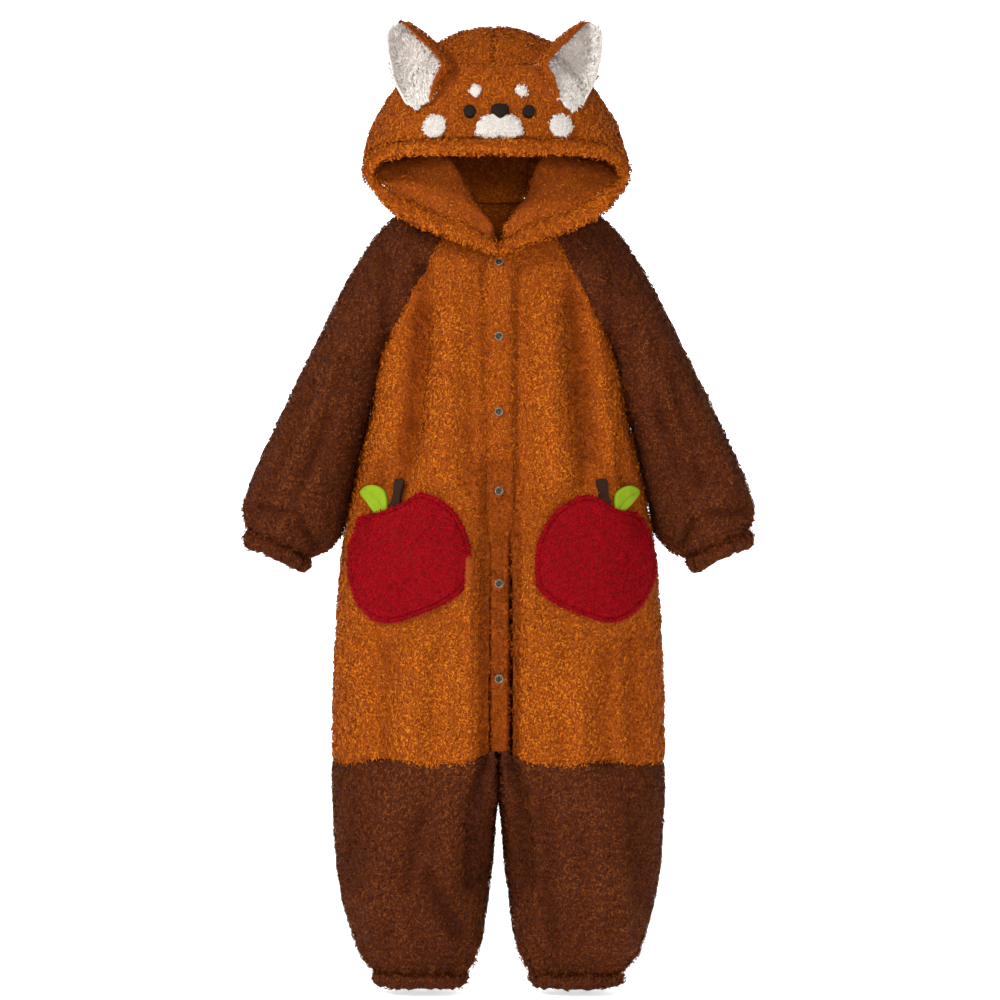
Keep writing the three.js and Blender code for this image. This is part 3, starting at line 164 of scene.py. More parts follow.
# Finer creases of the cloth, too small for the solids.
FRONT_CREASES = [Fold(*fold) for fold in [
    (-20, -60, -19, -430, 5, -3), (24, -60, 24, -410, 5, -3),
    (-97, -62, -114, -264, 11, -6), (-114, -264, -127, -345, 12, -5), (96, -75, 101, -207, 10, -5),
    (101, -207, 112, -335, 12, -6), (-39, -200, -36, -340, 9, -3.5), (-63, -120, -63, -330, 13, 3.5),
    (68, -120, 72, -335, 13, 3.5), (-130, -140, -158, -300, 13, 3.5), (120, -130, 150, -300, 13, 3.5),
    (-21, -430, -20, -720, 7, -7), (23, -410, 22, -720, 7, -7), (-57, -500, -63, -700, 12, 3),
    (56, -520, 59, -700, 12, 3), (-37, -440, -35, -720, 10, 6), (39, -440, 37, -720, 10, 6),
    (-34, -80, -40, -180, 7, -1.8), (40, -110, 47, -210, 8, -1.6),
    (-150, -300, -168, -400, 10, -3), (158, -290, 176, -410, 9, -3), (-84, -560, -88, -700, 9, -4),
    (84, -560, 82, -700, 9, -4), (-180, -560, -176, -690, 9, 3), (172, -540, 178, -690, 10, -3.5),
    (127, -620, 124, -705, 9, -4), (-190, -760, -196, -860, 10, -3), (-60, -740, -66, -850, 11, 3.5),
    (-27, -720, -30, -860, 10, -8), (28, -720, 34, -860, 10, -7), (84, -740, 92, -870, 11, 3.5),
    (58, -760, 66, -850, 9, -2.5), (140, -790, 152, -900, 9, -4), (-100, -760, -118, -860, 10, -4),
    (-130, -860, -120, -950, 8, 3), (130, -870, 122, -955, 8, 3), (-200, -150, -232, -240, 9, 3),
    (-262, -250, -306, -330, 9, 3), (-222, -250, -262, -360, 10, -5), (212, -250, 248, -360, 10, -5),
    (262, -240, 300, -330, 9, 3), (236, -330, 276, -400, 8, 3), (-236, -330, -284, -400, 8, 3),
    (205, -150, 208, -265, 9, -4), (-318, -372, -262, -379, 6, -4.5), (-256, -392, -238, -424, 6, -6),
    (322, -374, 268, -380, 6, -4.5), (254, -390, 240, -422, 6, -6), (-300, -352, -280, -366, 9, 3),
    (300, -350, 282, -366, 9, 3)]]
BACK_CREASES = [Fold(*fold) for fold in [
    (-60, -60, -74, -220, 12, -4), (56, -80, 66, -240, 13, -4), (0, -120, 4, -300, 16, 3.5),
    (-150, -280, -170, -420, 11, 3.5), (150, -300, 172, -440, 11, -4), (-80, -420, -92, -560, 12, -4),
    (86, -440, 90, -580, 12, 3.5), (-44, -560, -48, -690, 10, 3.5), (44, -570, 50, -690, 10, 3.5),
    (-180, -560, -182, -690, 10, 3), (182, -570, 186, -690, 10, -3), (-90, -740, -100, -880, 11, -4),
    (96, -750, 104, -890, 11, -4), (-180, -780, -190, -880, 10, 3), (178, -790, 188, -880, 10, -3),
    (-27, -720, -32, -860, 10, -6), (28, -720, 34, -860, 10, -6), (-230, -180, -280, -320, 10, -4),
    (220, -200, 276, -330, 10, -4), (-250, -300, -290, -390, 9, 3), (246, -310, 284, -390, 9, 3),
    (-318, -375, -262, -382, 6, -4), (322, -378, 268, -384, 6, -4)]]

# Where the waist seam is drawn up on the front: place, half width and rise.
WaistLift = namedtuple("WaistLift", "x width rise")
WAIST_LIFTS = [WaistLift(-143, 34, 10), WaistLift(0, 26, 17), WaistLift(140, 30, 6)]
WAIST_LIFT_REACH = 45

PatchPlace = namedtuple("PatchPlace", "name x z half_width half_height lean rise slot")
FACE_DOTS = [PatchPlace(*dot) for dot in [
    ("brow_left", -30, 165, 8, 8, 0, 4, "white_plush"), ("brow_right", 30, 165, 8, 8, 0, 4, "white_plush"),
    ("eye_left", -37, 137, 8, 8, 0, 3, "dark_plush"), ("eye_right", 39, 137, 8, 8, 0, 3, "dark_plush"),
    ("cheek_left", -82, 117, 15, 16, -0.5, 5, "white_plush"),
    ("cheek_right", 80, 118, 15, 16, 0.5, 5, "white_plush")]]
MUZZLE = {"centre": (1, 115), "rise": 7, "outline": [
    (-28, 104), (-30, 110), (-27, 119), (-19, 128), (-8, 133), (1, 134), (10, 133), (21, 128), (29, 119),
    (32, 110), (30, 104), (18, 101), (5, 100.5), (1, 101.8), (-3, 100.5), (-16, 101)]}
NOSE = {"centre": (2, 134), "rise": 12.5, "outline": [
    (-9.5, 138), (-5, 143), (2, 144), (9, 143), (13.5, 138), (9, 129), (2, 123.5), (-5, 129)]}

Pocket = namedtuple("Pocket", "side centre outline leaf leaf_vein stem_top stem_bottom stem_half")
POCKETS = [
    Pocket("left", (-114, -437), [
        (-180, -387), (-153, -379), (-125, -369), (-96, -354), (-60, -374), (-41, -408), (-35, -441),
        (-43, -475), (-64, -493), (-92, -507), (-138, -522), (-166, -515), (-184, -494), (-193, -460),
        (-193, -425), (-185, -402)],
        [(-177, -352), (-163, -344), (-148, -350), (-143, -366), (-145, -380), (-156, -382), (-169, -366)],
        [(-174, -350), (-158, -360), (-146, -380)], (-128, -338), (-134, -376), 6),
    Pocket("right", (124, -437), [
        (182, -383), (152, -376), (130, -363), (108, -357), (75, -376), (55, -408), (47, -441),
        (50, -472), (64, -490), (96, -507), (140, -521), (168, -514), (190, -492), (202, -463),
        (204, -442), (196, -410)],
        [(181, -352), (167, -345), (153, -353), (150, -365), (152, -376), (161, -378), (173, -366)],
        [(178, -352), (166, -360), (153, -376)], (134, -338), (139, -375), 6.5)]
POCKET_MOUTH_SHARE = 0.25

# ---------------------------------------------------------------- pile of each cloth

# Blades to a square metre, then length, lift above the cloth, half width and scatter in millimetres
# and radians; sink is how far the cloth lies under the garment's outer form.
Pile = namedtuple("Pile", "density length lift half_width yaw curl sink")
FLEECE = Pile(160_000, 5.6, 2.5, 0.88, 0.4, 0.5, 2.4)
INSIDE = Pile(94_000, 5.2, 2.2, 0.96, 0.5, 0.5, 1.6)
HEM_PILE = Pile(225_000, 6.2, 3.0, 0.9, 0.4, 0.5, 2.6)
PLUSH = Pile(420_000, 3.0, 2.6, 0.75, 0.9, 0.5, 1.6)
EAR_PLUSH = Pile(260_000, 6.5, 3.2, 0.9, 0.5, 0.5, 1.6)
VELVET = Pile(340_000, 3.4, 1.8, 0.75, 0.6, 0.6, 1.2)


def ramp(value, start, end):
    """Smooth step from 0 at start to 1 at end."""
    t = np.clip((value - start) / (end - start), 0, 1)
    return t * t * (3 - 2 * t)


def signed_power(value, exponent):
    return np.sign(value) * np.abs(value) ** exponent


def unit(vectors):
    return vectors / np.maximum(norm(vectors, axis=-1, keepdims=True), 1e-9)


def through(points, places):
    """Smooth curve through points, at places counted in points; both ends go on straight."""
    points = np.asarray(points, float)
    places = np.asarray(places, float)
    padded = np.concatenate([[2 * points[0] - points[1]], points, [2 * points[-1] - points[-2]]])
    start = np.clip(np.floor(places).astype(int), 0, len(points) - 2)
    t = (places - start).reshape((-1,) + (1,) * (points.ndim - 1))
    a, b, c, d = (padded[start + k] for k in range(4))
    return 0.5 * (2 * b + (c - a) * t + (2 * a - 5 * b + 4 * c - d) * t**2 + (3 * b - a - 3 * c + d) * t**3)


def loft(curves, vs, corner=0):
    """Rows of points at vs over stacked cross curves; at `corner` the lengthwise lines may bend."""
    places = np.asarray(vs) * (len(curves) - 1)
    if corner == 0:
        return through(curves, places)
    above = through(curves[:corner + 1], np.minimum(places, corner))
    below = through(curves[corner:], np.maximum(places - corner, 0))
    return np.where((places < corner)[:, None, None], above, below)


class BodyArc:
    """One row of the body, an arc from the centre line to the seam."""

    def __init__(self, row):
        self.row = row
        self.power = SQUARENESS / 2
        self.seam_angle = math.acos((row.seam_y / row.centre_y) ** self.power)
        self.width = row.seam_x / math.sin(self.seam_angle) ** (1 / self.power)

    def angle_at(self, x):
        return np.arcsin((np.abs(x) / self.width) ** self.power)

    def points(self, angle):
        row = self.row
        x = self.width * signed_power(np.sin(angle), 1 / self.power)
        y = row.centre_y * signed_power(np.cos(angle), 1 / self.power)
        z = row.centre_z + (row.seam_z - row.centre_z) * (x / row.seam_x) ** 2
        return np.stack([x, y, z], -1)


def body_surface(rows, row_points):
    """Surface over rows of the body; row_points gives the points of one row's arc at us."""
    return lambda us, vs: loft(np.array([row_points(BodyArc(row), us) for row in rows]), vs, UNDERARM_ROW)


def front_surface(start_x):
    def row_points(arc, us):
        start = arc.angle_at(start_x)
        return arc.points(start + (arc.seam_angle - start) * us)
    return body_surface(FRONT_ROWS, row_points)


def back_points(arc, us):
    half = arc.points(arc.seam_angle * np.abs(us))
    half[:, 0] *= np.sign(us)
    return half


def band_points(arc, us):
    x = BAND["left"] + (BAND["right"] - BAND["left"]) * us
    points = arc.points(arc.angle_at(x))
    points[:, 0] = x
    return points


def neckline_at(rib):
    """Half of the neckline by rib number, from the throat to the middle of the back."""
    if rib <= FRONT_RAGLAN:
        arc = BodyArc(FRONT_ROWS[0])
        x = THROAT_X + (FRONT_ROWS[0].seam_x - THROAT_X) * rib / FRONT_RAGLAN
        return arc.points(np.minimum(arc.angle_at(x), arc.seam_angle))
    if rib <= BACK_RAGLAN:
        share = (rib - FRONT_RAGLAN) / (BACK_RAGLAN - FRONT_RAGLAN)
        return through(SHOULDER_NECK, [share * (len(SHOULDER_NECK) - 1)])[0]
    arc = BodyArc(BACK_ROWS[0])
    return arc.points(arc.seam_angle * (MIDDLE_RIB - rib) / (MIDDLE_RIB - BACK_RAGLAN))


def arm_ring(ring, turns):
    """Ring between its outer and inner edge; turn 0 is the outer edge."""
    outer = np.array([ring.outer_x, 0, ring.outer_z])
    inner = np.array([ring.inner_x, 0, ring.inner_z])
    angle = 2 * np.pi * np.asarray(turns)
    points = (outer + inner) / 2 + np.cos(angle)[:, None] * (outer - inner) / 2
    points[:, 1] = ring.half_depth * np.sin(angle)
    return points


def ring_surface(ring_at, rings):
    return lambda us, vs: loft(np.array([ring_at(ring, us) for ring in rings]), vs)


YOKE_BLEND_FROM = 0.75


def yoke_surface(us, vs):
    """Shoulder piece: u from the front raglan seam over the top to the back one, v outwards."""
    front, back = [np.array([row[2:] for row in rows[:UNDERARM_ROW + 1]]) for rows in (FRONT_ROWS, BACK_ROWS)]
    middles = []
    for line in YOKE_LINES:
        neck = neckline_at(FRONT_RAGLAN + (BACK_RAGLAN - FRONT_RAGLAN) * line.share)
        end = arm_ring(SLEEVE_RINGS[0], [line.share + 0.5])[0]
        middles.append(np.array([neck, line.inner, line.middle, line.outer, end]))
    curves = [front, *middles, back]
    places = np.asarray(us) * (len(curves) - 1)
    lines = [through(points, np.asarray(vs) * (len(points) - 1)) for points in curves]
    inside = through(np.array(lines), places).transpose(1, 0, 2)
    ends = through(np.array([points[-1] for points in curves]), places)
    miss = arm_ring(SLEEVE_RINGS[0], np.asarray(us) + 0.5) - ends
    return inside + miss[None] * ramp(np.asarray(vs), YOKE_BLEND_FROM, 1)[:, None, None]


def leg_ring(ring, turns):
    """Ring of a leg; turn 0 is the outer side, 0.25 the back, 0.5 the inner side."""
    angle = 2 * np.pi * np.asarray(turns)
    power = 2 / np.where(np.cos(angle) < 0, ring.inner_squareness, ring.squareness)
    x = (ring.outer + ring.inner) / 2
    x = x + (ring.outer - ring.inner) / 2 * signed_power(np.cos(angle), power)
    side = np.sin(angle)
    y = np.where(side < 0, -ring.front, ring.back) * signed_power(side, power)
    return np.stack([x, y, np.full_like(x, ring.z)], -1)


def leg_top(turns):
    """Top edge of a leg: half of the body's lowest ring, closed by the crotch curve."""
    front, back = BodyArc(FRONT_ROWS[-1]), BodyArc(BACK_ROWS[-1])
    points = []
    for turn in turns:
        wrapped = turn - math.floor(turn)
        signed = wrapped - 1 if wrapped > 0.5 else wrapped
        if abs(signed) <= CROTCH_CORNER:
            arc = front if signed < 0 else back
            points.append(arc.points(arc.seam_angle * (1 - abs(signed) / CROTCH_CORNER)))
        else:
            share = (wrapped - CROTCH_CORNER) / (1 - 2 * CROTCH_CORNER)
            y = BACK_ROWS[-1].centre_y + (FRONT_ROWS[-1].centre_y - BACK_ROWS[-1].centre_y) * share
            points.append(np.array([0, y, WAIST_SEAM_Z - CROTCH_DROP * math.sin(math.pi * share)]))
    return np.array(points)


def leg_surface(us, vs):
    return loft(np.array([leg_top(us), *[leg_ring(ring, us) for ring in LEG_RINGS]]), vs)


def hood_surface(ribs, across):
    """Whole hood: ribs 0 to 7 on one side, 7 to 14 mirrored; across runs from the rim to the neck."""
    mirror = np.array([-1, 1, 1])
    ribs = np.asarray(ribs, float)
    columns = []
    for name in RIB_POINTS:
        half = np.array([getattr(rib, name) for rib in HOOD_RIBS], float)
        columns.append(through(np.concatenate([half, half[-2::-1] * mirror]), ribs))
    own = np.where(ribs > MIDDLE_RIB, 2 * MIDDLE_RIB - ribs, ribs)
    neck = np.array([neckline_at(rib) for rib in own])
    neck[:, 0] *= np.where(ribs > MIDDLE_RIB, -1, 1)
    neck[:, 2] += NECK_LIFT
    points = through(np.array([*columns, neck]), across)
    points[..., 0] += HOOD_SHIFT * ramp(points[..., 2], *HOOD_LEAN)
    return points


def ear_surface(us, vs):
    """Bowl of the right ear: u goes round the open bowl, v from the root to the tip."""
    outward = np.array([math.cos(EAR["turn"]), math.sin(EAR["turn"]), 0])
    backward = np.array([-math.sin(EAR["turn"]), math.cos(EAR["turn"]), 0])
    angle = -EAR["curl"] + (np.pi + 2 * EAR["curl"]) * np.asarray(us)
    curves = []
    for row in EAR_ROWS:
        points = np.array([row.x, row.y, row.z]) + row.half_width * np.cos(angle)[:, None] * outward
        curves.append(points + row.depth * np.sin(angle)[:, None] * backward)
    return loft(np.array(curves), vs)


def fold_height(points):
    """Height of the folds over points of the body, sleeves or legs."""
    x, y, z = np.moveaxis(points, -1, 0)
    total = np.zeros(x.shape)
    for table, here in ((FRONT_FOLDS + FRONT_CREASES, y < 0), (BACK_FOLDS + BACK_CREASES, y >= 0)):
        for fold in table:
            dx, dz = fold.x1 - fold.x0, fold.z1 - fold.z0
            share = np.clip(((x - fold.x0) * dx + (z - fold.z0) * dz) / (dx * dx + dz * dz), 0, 1)
            away = np.hypot(x - fold.x0 - dx * share, z - fold.z0 - dz * share)
            total += here * FOLD_GAIN * fold.height * np.exp(-((away / fold.width) ** 2))
    return total * ramp(np.abs(y), 0, FOLD_FADE_DEPTH)


def waist_lift(points):
    """How far the cloth near the front of the waist seam is drawn up."""
    x, y, z = np.moveaxis(points, -1, 0)
    rise = sum(lift.rise * np.exp(-(((x - lift.x) / lift.width) ** 2)) for lift in WAIST_LIFTS)
    near = np.exp(-(((z - WAIST_SEAM_Z) / WAIST_LIFT_REACH) ** 2))
    return rise * near * ramp(-y, 0, FOLD_FADE_DEPTH)


def soft_noise(points, scale, seed, waves=10):
    """Smooth noise from about -1 to 1 whose lumps are about half of `scale` millimetres wide."""
    rng = np.random.default_rng(seed)
    directions = unit(rng.normal(size=(waves, 3)))
    pitch = 2 * np.pi / scale * rng.uniform(0.7, 1.3, waves)
    phase = rng.uniform(0, 2 * np.pi, waves)
    return np.sin(points @ (directions * pitch[:, None]).T + phase).sum(-1) * math.sqrt(2 / waves) * 0.7


# ---------------------------------------------------------------- meshes

Grid = namedtuple("Grid", "points normals ring dip", defaults=(0,))


def grid_normals(points, ring, side):
    if ring:
        along = np.roll(points, -1, 1) - np.roll(points, 1, 1)
    else:
        along = np.gradient(points, axis=1)
    return unit(side * np.cross(along, np.gradient(points, axis=0)))


def edge_distance(points, edge):
    """Distance of each grid point from the edge u0, u1, v0 or v1, along the grid."""
    axis = "vu".index(edge[0])
    along = np.insert(norm(np.diff(points, axis=axis), axis=-1).cumsum(axis), 0, 0, axis)
    return along if edge[1] == "0" else np.take(along, [-1], axis) - along


def grid_quads(rows, columns, ring):
    """Corner indices of a grid's cells; rows and columns count points."""
    i = np.arange(columns if ring else columns - 1)
    j = np.arange(rows - 1)[:, None]
    right = (i + 1) % columns
    quads = [j * columns + i, j * columns + right, (j + 1) * columns + right, (j + 1) * columns + i]
    return np.stack(quads, -1).reshape(-1, 4)


def make_object(name, points, faces, material, tone=None):
    """Mesh object from millimetre points and index arrays of faces with 3 or 4 corners."""
    loops = np.concatenate([part.ravel() for part in faces]).astype(np.int32)
    sizes = np.concatenate([np.full(len(part), part.shape[1]) for part in faces])
    mesh = bpy.data.meshes.new(name)
    mesh.vertices.add(len(points))
    mesh.vertices.foreach_set("co", (points * MM).astype(np.float32).ravel())
    mesh.loops.add(len(loops))
    mesh.loops.foreach_set("vertex_index", loops)
    mesh.polygons.add(len(sizes))
    mesh.polygons.foreach_set("loop_start", (np.cumsum(sizes) - sizes).astype(np.int32))
    mesh.update(calc_edges=True)
    mesh.shade_smooth()
    if tone is not None:
        mesh.attributes.new("tone", "FLOAT", "POINT").data.foreach_set("value", tone.astype(np.float32))
    mesh.materials.append(material)
    made = bpy.data.objects.new(name, mesh)
    bpy.context.scene.collection.objects.link(made)
    return made


def closed_object(name, points, faces, material):
    """Mesh object of one closed skin, turned to face outwards; the first array of faces has quads."""
    a, b, c, d = (points[faces[0][:, k]] for k in range(4))
    volume = (np.einsum("ij,ij->i", a, np.cross(b, c)) + np.einsum("ij,ij->i", a, np.cross(c, d))).sum()
    if volume < 0:
        faces = [part[:, ::-1] for part in faces]
    return make_object(name, points, faces, material)


def shell_faces(rows, columns, ring):
    """Quads of two skins over one grid, joined round the open edges."""
    shift = rows * columns
    skin = grid_quads(rows, columns, ring)
    index = np.arange(shift).reshape(rows, columns)
    edges = [(index[0], False), (index[-1], True)]
    if ring:
        edges = [(np.append(line, line[0]), flip) for line, flip in edges]
    else:
        edges += [(index[:, 0], True), (index[:, -1], False)]
    quads = [skin, skin[:, ::-1] + shift]
    for line, flip in edges:
        a, b = line[:-1], line[1:]
        if flip:
            a, b = b, a
        quads.append(np.stack([b, a, a + shift, b + shift], -1))
    return np.concatenate(quads)


def grid_size(points, ring):
    """Greatest width and length of a grid, and its area, in metres."""
    loop = np.concatenate([points, points[:, :1]], 1) if ring else points
    width = norm(np.diff(loop, axis=1), axis=-1).sum(1).max()
    length = norm(np.diff(points, axis=0), axis=-1).sum(0).max()
    first = loop[1:, 1:] - loop[:-1, :-1]
    second = loop[1:, :-1] - loop[:-1, 1:]
    area = norm(np.cross(first, second), axis=-1).sum() / 2
    return width * MM, length * MM, area * MM * MM


def finish_piece(piece, slot, nodes=()):
    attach(piece, "root")
    if nodes:
        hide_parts(*nodes)
    return piece


def declare_cloth(size, fullness=1.0):
    width, length, area = size
    width, area = width * fullness, area * fullness
    min(area, width * length)


CELL = 6.0
SEAM_HALF_WIDTH = 5
# Height, size and seed of the uneven ground of every cloth.
CLOTH_LUMPS = [(0.6, 38, 5), (0.45, 17, 6)]
THINNEST = 0.8
CURL_SIZE = 11
# How far a blade is shaded as the cloth under it is, so that the folds show through the pile.
GROUND_SHADE = 0.52
# Painted light and shade with each millimetre of a fold: the pile is lighter on a ridge and darker in a
# trough, standing in for the light and shade that fall there.
FOLD_PAINTED_SHADE = 0.06
FOLD_PAINTED_SHADE_RANGE = (0.45, 1.25)
# A blade starts this deep in the cloth and is widest at this share of its length. Its four corners are
# darkest at the root and brightest at the tip, painted shade down in the pile and a painted highlight on the
# tips; single blades differ at random, and clumps that lie low are darker, a painted shade of the gaps
# between curls.
ROOT_DEPTH = 0.6
WIDEST = 0.45
TONE_ALONG = (0.02, 0.47, 0.47, 0.97)
TONE_SCATTER = 0.3
TONE_CLUMP = 0.26
# Scatter of the lean and the roll, and the turns by the broad swirl and by the curls, in radians.
LEAN_SCATTER = 0.15
ROLL_SCATTER = 0.45
SWIRL_SIZE = 34
SWIRL_TURN = 0.6
CURL_TURN = 0.75


def blades(name, grid, pile, material, seed, flow=(0, 0, -1), keep=None, spread=1.0):
    """
    Pile over a grid: bent blades that lean along `flow`, turned by a soft swirl. `keep`
    thins it: a function of the roots that gives the share of blades that stay.
    """
    rng = np.random.default_rng(seed)
    quads = grid_quads(*grid.points.shape[:2], grid.ring)
    flat, flat_normals = grid.points.reshape(-1, 3), grid.normals.reshape(-1, 3)
    corners = flat[quads]
    area = norm(np.cross(corners[:, 2] - corners[:, 0], corners[:, 3] - corners[:, 1]), axis=1) / 2
    reach = np.cumsum(area) * MM * MM * pile.density
    ticks = np.arange(0.5, reach[-1])
    ticks = ticks + rng.uniform(-0.45, 0.45, len(ticks))
    cell = np.clip(np.searchsorted(reach, ticks), 0, len(quads) - 1)
    s, t = rng.uniform(0, 1, (2, len(cell), 1))
    weights = [(1 - s) * (1 - t), s * (1 - t), s * t, (1 - s) * t]
    root, normal = (sum(weight * values[quads[cell, k]] for k, weight in enumerate(weights))
                    for values in (flat, flat_normals))
    if keep is not None:
        stay = rng.uniform(0, 1, len(root)) < keep(root)
        root, normal = root[stay], normal[stay]
    normal = unit(normal)
    count = len(root)

    def vary(middle, amount, least, most):
        return (middle + amount * rng.normal(size=(count, 1))).clip(least, most)

    lean = flow(root) if callable(flow) else np.broadcast_to(np.array(flow, float), root.shape)
    lean = lean + LEAN_SCATTER * rng.normal(size=root.shape)
    lean = unit(lean - (lean * normal).sum(1, keepdims=True) * normal)
    swirl, curls = soft_noise(root, SWIRL_SIZE, seed + 1), soft_noise(root, CURL_SIZE, seed + 3)
    turn = SWIRL_TURN * swirl + CURL_TURN * curls
    yaw = spread * (turn + pile.yaw * rng.normal(size=count))[:, None]
    along = lean * np.cos(yaw) + np.cross(normal, lean) * np.sin(yaw)
    beside = np.cross(normal, along)
    clump = soft_noise(root, CURL_SIZE * 0.8, seed + 2)[:, None]
    length = pile.length * vary(1, 0.22, 0.5, 1.6)
    lift = pile.lift * vary(0.85 + 0.45 * clump, 0.2, 0.2, 1.8)
    curl = pile.curl * rng.normal(size=(count, 1))
    roll = rng.normal(0, ROLL_SCATTER, (count, 1))
    half = pile.half_width * vary(1, 0.2, 0.5, 1.5)
    across = half * (beside * np.cos(roll) + normal * np.sin(roll))
    base = root - ROOT_DEPTH * normal

    def at(share, rise, bend):
        ahead = base + share * length * along
        return ahead + (ROOT_DEPTH + rise * lift) * normal + bend * curl * length * beside

    middle, tip = at(WIDEST, 0.95, 0.1), at(1, 0.7, 0.45)
    vertices = np.stack([base, middle - across, middle + across, tip], 1)
    # Painted light on each blade: shade at the root and in clumps that lie low, a highlight at the tip;
    # besides that the tone differs at random.
    tone = 1 + TONE_SCATTER * rng.normal(size=(count, 1)) + TONE_CLUMP * clump
    # Painted shade in the troughs of the folds and painted light on their ridges.
    tone *= np.clip(1 + FOLD_PAINTED_SHADE * fold_height(root), *FOLD_PAINTED_SHADE_RANGE)[:, None]
    tones = np.clip(np.array([TONE_ALONG]) * tone, 0, 1)
    start = 4 * np.arange(count)[:, None]
    faces = [start + np.array([[0, 1, 2]]), start + np.array([[1, 3, 2]])]
    made = make_object(name, vertices.reshape(-1, 3), faces, material, tones.ravel())
    shading = unit(GROUND_SHADE * normal + (1 - GROUND_SHADE) * np.cross(along, across / half))
    made.data.normals_split_custom_set_from_vertices(np.repeat(shading, 4, axis=0))
    return made


# Pieces that meet under the arm and between the legs face each other: their skins come out until they
# touch. Place in |x|, y, |z|, the shares of the three distances, how far it reaches, and which part of
# the normal counts.
MEETING_LAP = -3
Meeting = namedtuple("Meeting", "place shares reach facing")
UNDERARM = Meeting(np.array([152, 0, 172]), np.array([1, 1, 1]), (34, 95), np.array([1, 1, 1]))
CROTCH = Meeting(np.array([0, 0, 715]), np.array([1, 0, 1]), (20, 52), np.array([1, 0, 0]))


def even(start, end, count, ring=False):
    return start + (end - start) * (np.arange(count) / (count if ring else count - 1))


def cloth_grid(surface, side, u=(0, 1), v=(0, 1), ring=False, mirror=False, cell=CELL, relief=None,
               seams=(), seam_depth=2.2, upright=None, lift=None):
    """Fine grid on a surface with its folds, waist lift and the soft troughs along its seams."""
    width, length, _ = grid_size(surface(even(*u, 25, ring), even(*v, 25)), ring)
    columns = max(int(width / (cell * MM)), 8) + (0 if ring else 1)
    vs = even(*v, max(int(length / (cell * MM)), 4) + 1)
    points = surface(even(*u, columns, ring), vs)
    normals = grid_normals(points, ring, side)
    if upright:
        normals[..., 2] *= upright(vs)[:, None]
        normals = unit(normals)
    if mirror:
        points, normals, side = points * [-1, 1, 1], normals * [-1, 1, 1], -side
    height = relief(points) if relief else 0
    for amount, scale, seed in CLOTH_LUMPS:
        height = height + amount * soft_noise(points, scale, seed)
    dip = np.zeros(points.shape[:2])
    for seam in seams:
        dip += seam_depth * np.exp(-((edge_distance(points, seam) / SEAM_HALF_WIDTH) ** 2))
    if lift:
        points = points + lift(points)[..., None] * [0, 0, 1]
    moved = points + height[..., None] * normals
    return Grid(moved, grid_normals(moved, ring, side), ring, dip)


def raised(grid, height):
    return Grid(grid.points + height * grid.normals, grid.normals, False, grid.dip)


def cloth(name, grid, slot, pile, seed=1, flow=(0, 0, -1), fullness=1.0, inside=None,
          deep=WALL, sink=None, keep=None, spread=1.0):
    """Thin shell on a grid with pile on its outer side, and inside where `inside` is given."""
    sink = (pile.sink if sink is None else sink) + np.zeros(grid.points.shape[:2]) + grid.dip
    for meeting in (UNDERARM, CROTCH) if name.startswith("lower_leg") else (UNDERARM,):
        away = norm((np.abs(grid.points) - meeting.place) * meeting.shares, axis=-1)
        facing = norm(grid.normals * meeting.facing, axis=-1)
        sink = sink + (MEETING_LAP - sink) * (1 - ramp(away, *meeting.reach)) * facing
    outer = grid.points - sink[..., None] * grid.normals
    inner = grid.points - np.maximum(deep, sink + THINNEST)[..., None] * grid.normals
    points = np.concatenate([outer.reshape(-1, 3), inner.reshape(-1, 3)])
    quads = shell_faces(*outer.shape[:2], grid.ring)
    piece = finish_piece(closed_object(name, points, [quads], CLOTH[slot]), slot, [name])
    bumpy = grid_normals(outer, grid.ring, 1)
    bumpy *= np.sign((bumpy * grid.normals).sum(-1, keepdims=True))
    skin = Grid(outer, bumpy, grid.ring)
    extras = [blades(name + "_pile", skin, pile, PILE[slot], seed, flow, keep, spread)]
    if inside:
        lining = Grid(inner, -grid.normals, grid.ring)
        extras.append(blades(name + "_inside_pile", lining, INSIDE, PILE[slot], seed + 50, keep=inside))
    for extra in extras:
        finish_piece(extra, slot)
    declare_cloth(grid_size(grid.points, grid.ring), fullness)
    return piece


# ---------------------------------------------------------------- materials


def srgb(red, green, blue):
    """Linear colour from the usual 0 to 255 values."""
    def linear(value):
        value /= 255
        return value / 12.92 if value <= 0.04045 else ((value + 0.055) / 1.055) ** 2.4
    return (linear(red), linear(green), linear(blue), 1)


Shade = namedtuple("Shade", "dark middle bright")
SHADES = {
    "orange_fleece": Shade(srgb(80, 28, 0), srgb(158, 72, 6), srgb(208, 116, 26)),
    "brown_fleece": Shade(srgb(34, 11, 2), srgb(82, 34, 8), srgb(124, 66, 28)),
    "white_plush": Shade(srgb(190, 180, 170), srgb(225, 218, 210), srgb(246, 241, 235)),
    "dark_plush": Shade(srgb(14, 8, 5), srgb(32, 20, 14), srgb(58, 42, 33)),
    "red_plush": Shade(srgb(72, 0, 4), srgb(138, 0, 9), srgb(188, 6, 26)),
    "green_felt": Shade(srgb(100, 127, 13), srgb(137, 163, 25), srgb(166, 194, 53)),
    "brown_felt": Shade(srgb(26, 12, 6), srgb(48, 25, 14), srgb(74, 44, 28)),
    "button_metal": Shade(srgb(60, 48, 38), srgb(118, 102, 86), srgb(172, 158, 138)),
}
CLOTH_SLOTS = [slot for slot in SHADES if slot != "button_metal"]
# Scale and height in metres of the matted curls of each ground; felt and smooth plush are finer.
Curls = namedtuple("Curls", "scale height")
FLEECE_CURLS = Curls(330, 0.0012)
FINE_CURLS = {"green_felt": Curls(900, 0.0003), "brown_felt": Curls(900, 0.0004),
              "dark_plush": Curls(1200, 0.0004)}


def set_inputs(node, **values):
    """Set plain inputs of a node; an underscore stands for the space in an input's name."""
    for name, value in values.items():
        node.inputs[name.replace("_", " ")].default_value = value


def new_material(name, **values):
    material = bpy.data.materials.new(name)
    material.use_nodes = True
    shader = material.node_tree.nodes["Principled BSDF"]
    set_inputs(shader, **values)
    return material, material.node_tree, shader


